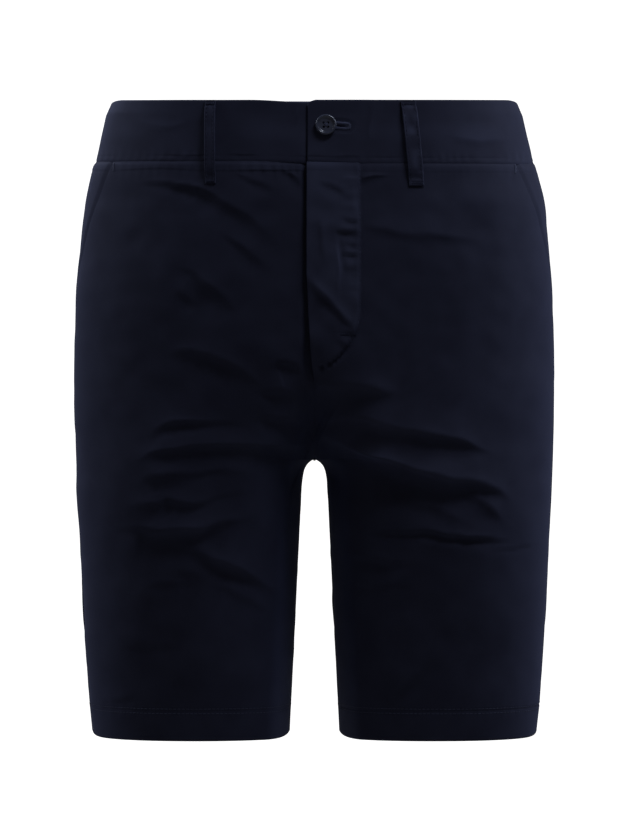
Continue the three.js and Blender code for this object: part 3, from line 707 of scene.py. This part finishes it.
twill = {
    "base": (0.0046, 0.0049, 0.0098, 1),
    # the lighter colour mixed in for wear and for painted light
    "worn": (0.025, 0.0285, 0.05, 1),
    "ribPitch": 0.55,  # mm between the twill's diagonal ribs
    "ribHeight": 0.05,
    "patchy": 0.1,  # the most that wear shows in patches
    # the most that raised places are lightened: wear on seams and edges, and painted light on fold crests,
    # the fly and the front left loop
    "wearAndPaintedLightMost": 0.3,
    "sheen": 0.04,
    "sheenTint": (0.42, 0.5, 1, 1),
    "specular": 0.05,
}


def navyTwill():
    f = Finish("navyTwill")
    clothPlace = f.node("ShaderNodeAttribute", {"attribute_name": "weave"}, output=1)
    across = f.node("ShaderNodeSeparateXYZ", inputs={0: clothPlace})
    up, high = across.part(1), across.part(2)
    turn = 2 * math.pi / (twill["ribPitch"] * math.sqrt(2))
    jitter = f.noise(clothPlace, 0.9)
    rib = ((across + up + jitter * 0.5) * turn).wave()
    yarn = ((across - up) * (turn * 1.7)).wave()
    slub = f.noise(clothPlace, 0.12, 4.0)
    height = rib * 0.5 + yarn * 0.18 + slub * 1.2
    normal = f.node(
        "ShaderNodeBump", inputs={"Strength": 0.25, "Distance": twill["ribHeight"] * mm, "Height": height}
    )
    patch = f.ramp(f.noise(clothPlace, 0.035, 5.0), 0.35, 0.8, twill["patchy"])
    # Lighter where the weave's third value is high: wear on seams and edges, and painted light on fold
    # crests, on the fly and on the front left loop.
    ridge = f.ramp(high + rib * 0.02, 0.03, 0.75, twill["wearAndPaintedLightMost"])
    f.set(Base_Color=f.mix(patch + ridge, twill["base"], twill["worn"]), Roughness=0.8, Normal=normal)
    f.set(Sheen_Weight=twill["sheen"], Sheen_Roughness=0.6, Sheen_Tint=twill["sheenTint"])
    f.set(Specular_IOR_Level=twill["specular"])
    return f.material


def navyButton():
    f = Finish("navyButton")
    place = f.node("ShaderNodeNewGeometry")
    cloud = f.noise(place, 260.0)
    f.set(Base_Color=f.mix(cloud, (0.006, 0.0072, 0.0135, 1), (0.019, 0.0225, 0.036, 1)), Roughness=0.22)
    f.set(Specular_IOR_Level=0.2)
    return f.material


def navyThread():
    f = Finish("navyThread")
    place = f.node("ShaderNodeNewGeometry")
    strand = f.noise(place, 3200.0, 2.0)
    f.set(Base_Color=f.mix(strand, (0.009, 0.0105, 0.02, 1), (0.026, 0.03, 0.054, 1)), Roughness=0.6)
    f.set(Specular_IOR_Level=0.08)
    return f.material


# A near-black finish for painted shade.
def shadowCloth():
    f = Finish("shadowCloth")
    place = f.node("ShaderNodeNewGeometry")
    f.set(Base_Color=f.mix(f.noise(place, 900.0), (0.002, 0.002, 0.004, 1), (0.005, 0.005, 0.008, 1)))
    f.set(Roughness=0.95, Specular_IOR_Level=0.0)
    return f.material


materials = {
    "twill": navyTwill(), "button": navyButton(), "thread": navyThread(), "shadow": shadowCloth(),
}


def dress(piece, slotName, nodes=(), look=None):
    piece.data.materials.append(materials[look or slotName])
    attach(piece, "root")
    if nodes:
        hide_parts(*nodes)
    return piece


# A cloth shell in its solid's place, with its wall inward of the outer face.
def shellPiece(node, face, wall, weave, flip):
    inner = face - normalsOf(face, flip) * wall[..., None]
    return dress(shellMesh(node + "_cloth", face, inner, weave), "twill", [node])


# Where the front panel ends at the pocket's mouth, as a share of the way to the side seam.
def pocketShare(z):
    down = np.clip((seamHeights["bandSeam"] - z) / (seamHeights["bandSeam"] - pocket["bottom"]), 0, 1)
    return blend(pocket["topShare"], 1, down**1.15)


# Rows close together along the seams and where the rise turns under, and even elsewhere.
def panelHeights(step):
    top = seamHeights["bandSeam"] - 0.05
    finish, stitched = seamHeights["hemEdge"], seamHeights["hemStitch"]

    def span(start, end, spacing):
        return np.linspace(start, end, max(2, round((start - end) / spacing) + 1))[1:]

    turns = np.linspace(0, np.pi / 2, int(1.25 * (fork["top"] - fork["point"]) / step))
    rise = blend(fork["top"], fork["point"], np.sin(turns))[1:]
    arched = fork["point"] - np.linspace(0, 1, 14)[1:] ** 2 * 20
    parts = [
        [top], span(top, top - 12, 0.6), span(top - 12, fork["top"], step), rise, arched,
        span(arched[-1], stitched + 6.5, step), span(stitched + 6.5, stitched - 5.5, 0.42),
        span(stitched - 5.5, finish, 1.6),
    ]
    return np.concatenate(parts)


panelGrid = {"step": 2.2, "columns": 150, "crowding": 0.09}


def makePanel(side, face):
    word = "left" if side > 0 else "right"
    z = panelHeights(panelGrid["step"])[:, None]
    t = np.linspace(0, 1, panelGrid["columns"])[None, :]
    t = t - panelGrid["crowding"] * np.sin(2 * np.pi * t)
    share = t * (pocketShare(z) if face == "front" else 1 + 0 * z)
    points, _, out = panelFace(side, face, share, z)
    wall = blend(cloth["hem"], cloth["twill"], smooth(-1.2, 1.2, z - seamHeights["hemStitch"]))
    wall = wall + 0 * share
    if face == "front":
        mouth = smooth(pocketShare(z) - 0.08, pocketShare(z) - 0.03, share)
        mouth = mouth * np.where(z > pocket["bottom"], 1, 0)
        wall = blend(wall, pocket["edge"], mouth)
    weave = np.stack([share * cloth["girth"], z + 0 * share, out], axis=2)
    node = f"{face}_panel_{word}"
    piece = shellPiece(node, points, wall, weave, side * (1 if face == "front" else -1))
    return piece


def makePocketSide(side):
    word = "left" if side > 0 else "right"
    z = panelHeights(panelGrid["step"])
    z = z[z > pocket["bottom"] + 1][:, None]
    mouth = pocketShare(z)
    share = blend(mouth - 0.06, 1, np.linspace(0, 1, 60)[None, :])
    out = smooth(mouth + 0.004, mouth + pocket["ease"], share)
    points, _, high = panelFace(side, "front", share, z, pocket["sink"] * (1 - out))
    node = "pocket_side_" + word
    wall = np.full(share.shape, cloth["twill"])
    weave = np.stack([share * cloth["girth"], z + 0 * share, high], axis=2)
    piece = shellPiece(node, points, wall, weave, side)
    return piece


for side in (1, -1):
    makePanel(side, "front")
    makePanel(side, "back")
    makePocketSide(side)
print("panels made")

# Waistband
buttonholeEnds = [(16.5, 5.3), (28.8, 4.4)]
bandFolds = [
    {"line": [(-15.5, 26), (-14.5, 16), (-13.5, 5)], "width": [2, 2.4, 1.6], "drop": 0.6},
    {"line": [(45, 24), (44, 8), (43.5, -8)], "width": [3, 4, 3], "drop": 0.6},
    {"line": [(-64, -17.5), (-52, -18), (-42, -20)], "width": [2, 3, 2], "drop": 0.5},
    {"line": [(-112, -19.5), (-98, -19), (-86, -17.5)], "width": [2, 3, 3], "drop": 0.5},
    {"line": [(12, -19), (22, -18), (36, -19)], "width": [2, 3, 2], "drop": 0.4},
    {"line": [(108, -2), (128, -6), (150, -5)], "width": [5, 8, 5], "drop": 0.6},
    {"line": [(-142, 10), (-120, 5), (-98, 8)], "width": [5, 8, 5], "drop": 0.5},
]

bandRelief = {"swell": 0.28, "puckers": 0.12, "seamGroove": 0.32, "stitchGroove": 0.3}


def bandAngle(x, z):
    s = sectionAt(z)
    return np.arcsin(signedPower(x / s["side"], s["square"] / 2))


def bareBand(angle, z):
    s = sectionAt(z)
    x = s["side"] * signedPower(np.sin(angle), 2 / s["square"])
    q = -signedPower(np.cos(angle), 2 / s["square"])
    return np.stack([x, np.where(q < 0, s["front"], s["back"]) * q, z + 0 * x], axis=-1), q


# The waistband's outer face by angle from the centre front, and its outward direction.
def bandFace(side, angle, z):
    angle, z = np.broadcast_arrays(np.asarray(angle, float), np.asarray(z, float))
    flat, q = bareBand(angle, z)
    along = bareBand(angle + 0.004, z)[0] - bareBand(angle - 0.004, z)[0]
    down = bareBand(angle, z - 0.5)[0] - bareBand(angle, z + 0.5)[0]
    normal = np.cross(down, along)
    normal = normal / np.maximum(np.linalg.norm(normal, axis=-1, keepdims=True), 1e-9)
    x = flat[..., 0]
    before = q < 0
    if side > 0:
        out = bandLap["raise"] * np.where(before, 1 - smooth(26, 44, x), 0)
    else:
        beside = 0.5 * (1 - smooth(5.2, 9.5, -x)) + 0.5 * (1 - smooth(6, 44, -x))
        out = -bandLap["sink"] * np.where(before, beside, 0)
    high = np.where(before, foldRelief(bandFolds, x, z), 0)
    high = high + bandRelief["swell"] * swell(x, z * 2, 34, 41 if side > 0 else 42)
    near = z - seamHeights["bandSeam"]
    wave = np.sin(2 * np.pi * (x / 8 + 1.2 * swell(x, z * 0, 30, 43)))
    high = high + bandRelief["puckers"] * wave * bump(near, 4, 4) * smooth(0, 2, near)
    high = high - bandRelief["seamGroove"] * bump(near, 0, 0.9)
    high = high - bandRelief["stitchGroove"] * np.abs(swell(x, z * 0, 28, 44)) * bump(near, 4.4, 0.9)
    if side > 0:
        (x0, z0), (x1, z1) = buttonholeEnds
        part = np.clip((x - x0) / (x1 - x0), -0.6, 0.72)
        away = np.hypot(x - x0 - part * (x1 - x0), z - z0 - part * (z1 - z0))
        high = high - np.where(before, 0.6 * bump(away, 4.1, 0.9) - 0.2 * bump(away, 5.8, 1.2), 0)
    points = flat + normal * (out + high)[..., None]
    points[..., 2] += waistLift(x, q, z)
    return points, normal, high


def makeBand(side):
    word = "left" if side > 0 else "right"
    top, seam = seamHeights["bandTop"], seamHeights["bandSeam"]
    z = np.concatenate([np.linspace(top, seam + 7, 34)[:-1], np.linspace(seam + 7, seam + 0.05, 15)])
    z = z[:, None]
    start = -bandAngle(bandLap["lap"] if side > 0 else bandLap["under"], z)
    t = np.linspace(0, 1, 330)[None, :]
    angle = side * blend(start, np.pi, t)
    points, _, high = bandFace(side, angle, z)
    points[..., 0] += side * cloth["seamGap"] / 2 * smooth(0.98, 1, t)
    # The band's relief also lightens its colour where it stands up: painted light on its crests and
    # puckers.
    weave = np.stack([t * cloth["bandLength"] + 0 * z, z + 0 * t, high], axis=2)
    node = "waistband_" + word
    piece = shellPiece(node, points, np.full(angle.shape, cloth["band"]), weave, side)
    return piece


for side in (1, -1):
    makeBand(side)
print("waistband made")

# Belt loops: a strip that lies on the cloth at both ends and stands off it between them.
loops = [
    {"name": "belt_loop_front_right", "x": -80.8, "lean": 0.2, "width": 8.6, "face": "front"},
    {"name": "belt_loop_front_left", "x": 72.8, "lean": 6.4, "width": 12, "face": "front"},
    {"name": "belt_loop_back_right", "x": -104, "lean": -1.5, "width": 9.6, "face": "back"},
    {"name": "belt_loop_back_left", "x": 104, "lean": 1.5, "width": 9.6, "face": "back"},
    {"name": "belt_loop_centre_back", "x": 0, "lean": 0, "width": 9.6, "face": "back"},
]
loopLine = {
    "z": [-42.5, -40, -37, -34, -29, -18, -8, 2, 14, 19.5, 22.5, 25.2],
    "off": [0.35, 0.45, 0.6, 1.4, 2.6, 3, 3.1, 3.1, 2.7, 1.5, 0.6, 0.4],
    "wall": 1.7,
    "stitchIn": 1.7,
    "length": 70,
    "steps": 72,
    "around": 28,
    "rounding": 0.035,  # how softly the strip bends, as a share of its length
}


# The middle of a loop's underside on the bare waistband, its directions, and how far it stands off.
def loopPath(loop, t):
    near = bump(t[None, :], t[:, None], loopLine["rounding"])

    def bent(key):
        line = np.interp(t, np.linspace(0, 1, len(loopLine[key])), loopLine[key])
        return np.where((t > 0.04) & (t < 0.96), (line * near).sum(axis=1) / near.sum(axis=1), line)

    z, off = bent("z"), bent("off")
    level = np.minimum(z, seamHeights["bandTop"])
    down = (seamHeights["bandTop"] - z) / (seamHeights["bandTop"] - loopLine["z"][0])
    angle = bandAngle(loop["x"] + loop["lean"] * down, level)
    if loop["face"] == "back":
        angle = np.pi - angle
    bare, q = bareBand(angle, level)
    along = bareBand(angle + 0.01, level)[0] - bareBand(angle - 0.01, level)[0]
    across = along * [1, 1, 0]
    across = across / np.linalg.norm(across, axis=1, keepdims=True)
    out = np.stack([across[:, 1], -across[:, 0], 0 * off], axis=1)
    if (out * (bare * [1, 1, 0])).sum() < 0:
        out = -out
    bare[:, 2] += waistLift(bare[:, 0], q, level) + z - level
    return bare, across, out, off


def makeLoop(loop):
    t = np.linspace(0, 1, loopLine["steps"])
    bare, across, out, off = loopPath(loop, t)
    half, wall = loop["width"] / 2, loopLine["wall"]
    ring = []
    for k in range(loopLine["around"]):
        turn = 2 * np.pi * k / loopLine["around"]
        u = half * signedPower(np.cos(turn), 0.28)
        v = wall / 2 * (1 + signedPower(np.sin(turn), 0.55))
        ring.append((u, v))
    length, seams = t * loopLine["length"], (half - loopLine["stitchIn"], loopLine["stitchIn"] - half)
    rows = []
    narrow = np.minimum(1, np.minimum(t, 1 - t) / 0.02) ** 0.5 * 0.12 + 0.88
    rumpleAndHighlight = 1 if loop["name"] == "belt_loop_front_left" else 0.3
    dent = 0.35 * swell(length, 0 * t + loop["x"], 9, 51) + 0.4 * rumpleAndHighlight * swell(length, 0 * t, 5, 52)
    for i in range(len(t)):
        row = []
        for u, v in ring:
            sunk = 0.36 * sum(bump(u, at, 0.6) for at in seams) if v > wall / 2 else 0
            thick = narrow[i] * (v + (dent[i] if v > wall / 2 else 0) - sunk)
            row.append(bare[i] + across[i] * u * (0.97 + 0.03 * narrow[i]) + out[i] * (off[i] + thick))
        rows.append(row)
    grid = np.array(rows)
    faces = tubeFaces(*grid.shape[:2])
    u, along = np.array([[u for u, _ in ring]]), length[:, None]
    # The front left loop's colour gets blotches of painted highlight. The lighter folded edges of every
    # loop are wear.
    worn = 0.2 * bump(np.abs(u), half, 0.9) + rumpleAndHighlight * np.clip(swell(along, u, 5.5, 53), 0, 1)
    weave = np.stack([u + loop["x"] + 0 * along, along + 0 * u, worn], axis=2)
    piece = meshPiece(loop["name"] + "_cloth", grid.reshape(-1, 3), faces, weave.reshape(-1, 3))
    dress(piece, "twill", [loop["name"]])


for loop in loops:
    makeLoop(loop)
print("belt loops made")

# Sewing threads, each group one mesh.
threads = {"length": 2.7, "gap": 0.7, "radius": 0.2, "sides": 6, "closePitch": 0.42, "closeRadius": 0.26}


# One stitch: thin at both ends, where it goes down into the cloth.
def capsule(start, end, out, radius):
    along = end - start
    length = np.linalg.norm(along)
    along = along / length
    out = out - along * (out @ along)
    out = out / np.linalg.norm(out)
    across = np.cross(along, out)
    turns = np.linspace(0, 2 * np.pi, threads["sides"], endpoint=False)
    stations = [(0, 0.3, -0.9), (0.14, 0.85, -0.1), (0.5, 1, 0.25), (0.86, 0.85, -0.1), (1, 0.3, -0.9)]
    rows = []
    for place, wide, rise in stations:
        centre = start + along * length * place + out * radius * rise
        rows.append([centre + radius * wide * (np.cos(a) * out + np.sin(a) * across) for a in turns])
    return np.array(rows)


def threadMesh(name, runs, look="thread"):
    points, faces = [], []
    for run in runs:
        rows = capsule(*run)
        faces += tubeFaces(*rows.shape[:2], first=len(points) * threads["sides"])
        points.extend(rows)
    dress(meshPiece(name, np.array(points).reshape(-1, 3), faces), "twill", look=look)


# Stitches along a line of points with their outward directions.
def stitchRuns(points, normals):
    length, gap = threads["length"], threads["gap"]
    steps = np.linalg.norm(np.diff(points, axis=0), axis=1)
    place = np.concatenate([[0], np.cumsum(steps)])
    starts = np.arange(gap, place[-1] - length, length + gap)

    def at(values, where):
        return np.stack([np.interp(where, place, values[:, k]) for k in range(3)], axis=1)

    first, last = at(points, starts), at(points, starts + length)
    out = at(normals, starts + length / 2)
    return [(a, b, n, threads["radius"]) for a, b, n in zip(first, last, out)]


def panelLine(side, face, share, z, lift=0.1):
    points, normal, _ = panelFace(side, face, share, z)
    return points + normal * lift, normal


def hemStitches():
    runs = []
    for side in (1, -1):
        for row in relief["hemRows"]:
            share = np.linspace(0.004, 0.996, 400)
            for face in ("front", "back"):
                runs += stitchRuns(*panelLine(side, face, share, np.full(400, float(row))))
    threadMesh("hemStitches", runs)


def flyStitches():
    z = np.linspace(-28, fly["end"] + 0.8, 260)
    share = shareAt(flyEdgeX(z), z, 1)
    threadMesh("flyStitches", stitchRuns(*panelLine(1, "front", share, z)))


def loopStitches():
    runs = []
    for loop in loops:
        bare, across, out, off = loopPath(loop, np.linspace(0.03, 0.97, 120))
        edge = loop["width"] / 2 - loopLine["stitchIn"]
        for sign in (1, -1):
            line = bare + across * sign * edge + out * (off + loopLine["wall"] - 0.05)[:, None]
            runs += stitchRuns(line, out)
        for at in (0.045, 0.93):
            i = int(at * 119)
            for k in range(9):
                middle = bare[i] + out[i] * (off[i] + loopLine["wall"] + 0.12)
                middle = middle + across[i] * (k - 4) * (loop["width"] - 2) / 9
                tall = np.array([0, 0, 0.9])
                runs.append((middle - tall, middle + tall, out[i], threads["closeRadius"]))
    threadMesh("loopStitches", runs, "twill")


# A block of close stitches, seen at x, z and so wide and high.
def bartack(side, x, z, wide, high):
    tall = high > wide
    count = round((high if tall else wide) / threads["closePitch"])
    runs = []
    for k in range(count):
        shift = (k / (count - 1) - 0.5) * (high if tall else wide)
        half = (wide if tall else high) / 2
        ends = np.array([[-half, shift], [half, shift]] if tall else [[shift, -half], [shift, half]])
        at = ends + [x, z]
        share = shareAt(side * at[:, 0], at[:, 1], side)
        points, normal = panelLine(side, "front", share, at[:, 1], 0.25)
        runs.append((points[0], points[1], normal[0], threads["closeRadius"]))
    return runs


def bartacks():
    threadMesh("pocketBartacks", [
        *bartack(-1, -157.7, -28.5, 1.6, 6.4), *bartack(1, 157.7, -28.5, 1.6, 6.4),
    ])
    threadMesh("flyBartack", bartack(1, 23.6, -164.5, 6, 1.6), "twill")


hemStitches()
flyStitches()
loopStitches()
bartacks()
print("stitches made")

# Button and buttonhole
button = {"x": 8.9, "z": 5.2, "radius": 8.2, "height": 3.2, "hole": 1.0, "holeFrom": 2.3, "stand": 0.5}


def buttonFrame():
    angle = bandAngle(button["x"], button["z"])
    points, normal, _ = bandFace(1, angle, button["z"])
    up = np.array([0, 0, 1]) - normal * normal[2]
    up = up / np.linalg.norm(up)
    return points, np.cross(up, normal), up, normal


# A turned body: profile holds radii and heights.
def lathe(profile, steps, centre, right, up, out):
    points = []
    for radius, height in profile:
        for k in range(steps):
            turn = 2 * np.pi * k / steps
            spoke = right * np.cos(turn) + up * np.sin(turn)
            points.append(centre + spoke * radius + out * height)
    return points, tubeFaces(len(profile), steps)


def makeButton():
    centre, right, up, out = buttonFrame()
    centre = centre + out * button["stand"]
    r, h = button["radius"], button["height"]
    profile = [
        (5.6, 0), (6.6, 0.12), (7.3, 0.5), (7.8, 1.05), (8.12, 1.6), (r, 2), (8.1, 2.45), (7.82, 2.85),
        (7.45, 3.12), (7.1, h), (6.8, 3.14), (6.55, 2.95), (6.25, 2.6), (5.95, 2.25), (5.5, 2),
        (4.8, 1.85), (3.6, 1.78), (1.5, 1.75), (0.4, 1.75),
    ]
    body = meshPiece("waistButton", *lathe(profile, 96, centre, right, up, out))
    for i in range(4):
        turn = math.pi / 4 + i * math.pi / 2
        at = centre + button["holeFrom"] * (right * math.cos(turn) + up * math.sin(turn))
        bore = [(button["hole"], -3), (button["hole"], 6)]
        hole = meshPiece("hole", *lathe(bore, 28, at, right, up, out))
        cut = body.modifiers.new("hole", "BOOLEAN")
        cut.object, cut.operation, cut.solver = hole, "DIFFERENCE", "EXACT"
        graph = bpy.context.evaluated_depsgraph_get()
        carved = bpy.data.meshes.new_from_object(body.evaluated_get(graph))
        body.modifiers.clear()
        body.data = carved
        bpy.data.objects.remove(hole)
    body.data.shade_smooth()
    body.data.set_sharp_from_angle(angle=math.radians(50))
    dress(body, "button", ["waist_button"])
    runs = []
    for i in range(2):
        turn = math.pi / 4 + i * math.pi / 2
        ray = right * math.cos(turn) + up * math.sin(turn)
        side = right * -math.sin(turn) + up * math.cos(turn)
        for k in range(3):
            middle = centre + out * (1.85 + 0.2 * i) + side * (k - 1) * 0.36
            runs.append((middle - ray * 2.1, middle + ray * 2.1, out, 0.22))
    threadMesh("buttonThread", runs)
    shank = [(1.9, -0.7), (1.7, 0.4), (1.8, 1.2)]
    dress(meshPiece("buttonShank", *lathe(shank, 20, centre, right, up, out)), "twill", look="thread")


buttonhole = {"inner": 1.1, "half": 3.3, "innerLift": 0.2, "outerLift": 0.05, "radius": 0.27}


def makeButtonhole():
    (x0, z0), (x1, z1) = buttonholeEnds
    along = np.array([x1 - x0, z1 - z0])
    length = np.linalg.norm(along)
    along = along / length
    across = np.array([-along[1], along[0]])
    inner, half = buttonhole["inner"], buttonhole["half"]

    def place(u, v, lift):
        x, z = np.array([x0, z0]) + along * u + across * v
        points, normal, _ = bandFace(1, bandAngle(x, z), z)
        return points + normal * lift, normal

    def spoke(u, right, up):
        a, _ = place(u + inner * right, inner * up, buttonhole["innerLift"])
        b, n = place(u + half * right, half * up, buttonhole["outerLift"])
        return a, b, n, buttonhole["radius"]

    last = length - half
    sides = [spoke(u, 0, sign) for u in np.arange(0.2, last, threads["closePitch"]) for sign in (1, -1)]
    turns = np.linspace(-np.pi / 2, np.pi / 2, 13)
    threadMesh("buttonholeStitches", sides + [spoke(last, np.cos(a), np.sin(a)) for a in turns])
    # The slit is a near-black strip of painted shade, standing for the shadow inside the buttonhole.
    a, _ = place(-1, 0, -0.6)
    b, n = place(last, 0, -0.6)
    threadMesh("buttonholeSlitShade", [(a, b, n, 1.05)], "shadow")


makeButton()
makeButtonhole()
print("button made")

# Camera, as in the photo: level with the middle of the shorts and four metres away.
camera = {"distance": 4.0, "x": 0.0004, "z": -0.2308, "seenHeight": 0.672, "sensor": 36}


def makeCamera():
    data = bpy.data.cameras.new("photoCamera")
    data.lens = camera["sensor"] * camera["distance"] / camera["seenHeight"]
    data.sensor_width = camera["sensor"]
    data.clip_end = 50
    eye = bpy.data.objects.new("photoCamera", data)
    eye.location = (camera["x"], -camera["distance"], camera["z"])
    eye.rotation_euler = (math.pi / 2, 0, 0)
    bpy.context.collection.objects.link(eye)
    bpy.context.scene.camera = eye


makeCamera()

studio = {
    "floorZ": -1.22,
    "leftLight": {"place": (-0.95, 0.1, 0.55), "size": (0.5, 0.6), "power": 12.2, "aim": (0, 0, 0.12)},
    "rightLight": {"place": (0.95, 0.14, 0.52), "size": (0.5, 0.6), "power": 12.2, "aim": (0, 0, 0.12)},
    "frontLight": {"place": (0.6, -0.64, 1.2), "size": (0.5, 0.35), "power": 22.5, "aim": (0, 0, -0.08)},
    "backLight": {"place": (-0.5, 0.9, 1.2), "size": (0.6, 0.4), "power": 30, "aim": (0, 0, -0.15)},
    "lightColor": (0.76, 0.83, 1),
    "airColor": (1, 0.95, 0.89, 1),
    "air": 0.27,
    "paper": (0.6, 0.6, 0.6, 1),
    "wallGlow": 1.0,
}


def makeLight(name):
    look = studio[name]
    data = bpy.data.lights.new(name, "AREA")
    data.shape = "RECTANGLE"
    data.size, data.size_y = look["size"]
    data.energy = look["power"]
    data.color = studio["lightColor"]
    lamp = bpy.data.objects.new(name, data)
    lamp.location = look["place"]
    lamp.rotation_euler = (Vector(look["aim"]) - lamp.location).to_track_quat("-Z", "Y").to_euler()
    bpy.context.collection.objects.link(lamp)


# A sheet of paper that follows a line of distances and heights above the floor.
def makePaper(name, line, half, glow):
    paper = Finish(name)
    paper.set(Base_Color=studio["paper"], Roughness=0.9)
    paper.set(Emission_Color=(1, 1, 1, 1), Emission_Strength=glow)
    points = [(x, y, studio["floorZ"] + z) for y, z in line for x in (-half, half)]
    faces = [[2 * i, 2 * i + 1, 2 * i + 3, 2 * i + 2] for i in range(len(line) - 1)]
    mesh = bpy.data.meshes.new(name)
    mesh.from_pydata(points, [], faces)
    mesh.materials.append(paper.material)
    mesh.shade_smooth()
    sheet = bpy.data.objects.new(name, mesh)
    bpy.context.collection.objects.link(sheet)


def makeStudio():
    for name in ("leftLight", "rightLight", "frontLight", "backLight"):
        makeLight(name)
    makePaper("paleFloor", [(-14, 0), (14, 0)], 14, 0.0)
    makePaper("whiteScreen", [(7, 0.01), (7.01, 1.95)], 0.72, studio["wallGlow"])
    world = bpy.data.worlds.new("studioAir")
    world.use_nodes = True
    air = world.node_tree.nodes["Background"]
    air.inputs["Color"].default_value = studio["airColor"]
    air.inputs["Strength"].default_value = studio["air"]
    bpy.context.scene.world = world
    bpy.context.scene.view_settings.view_transform = "Standard"


makeStudio()
print("camera and studio made")
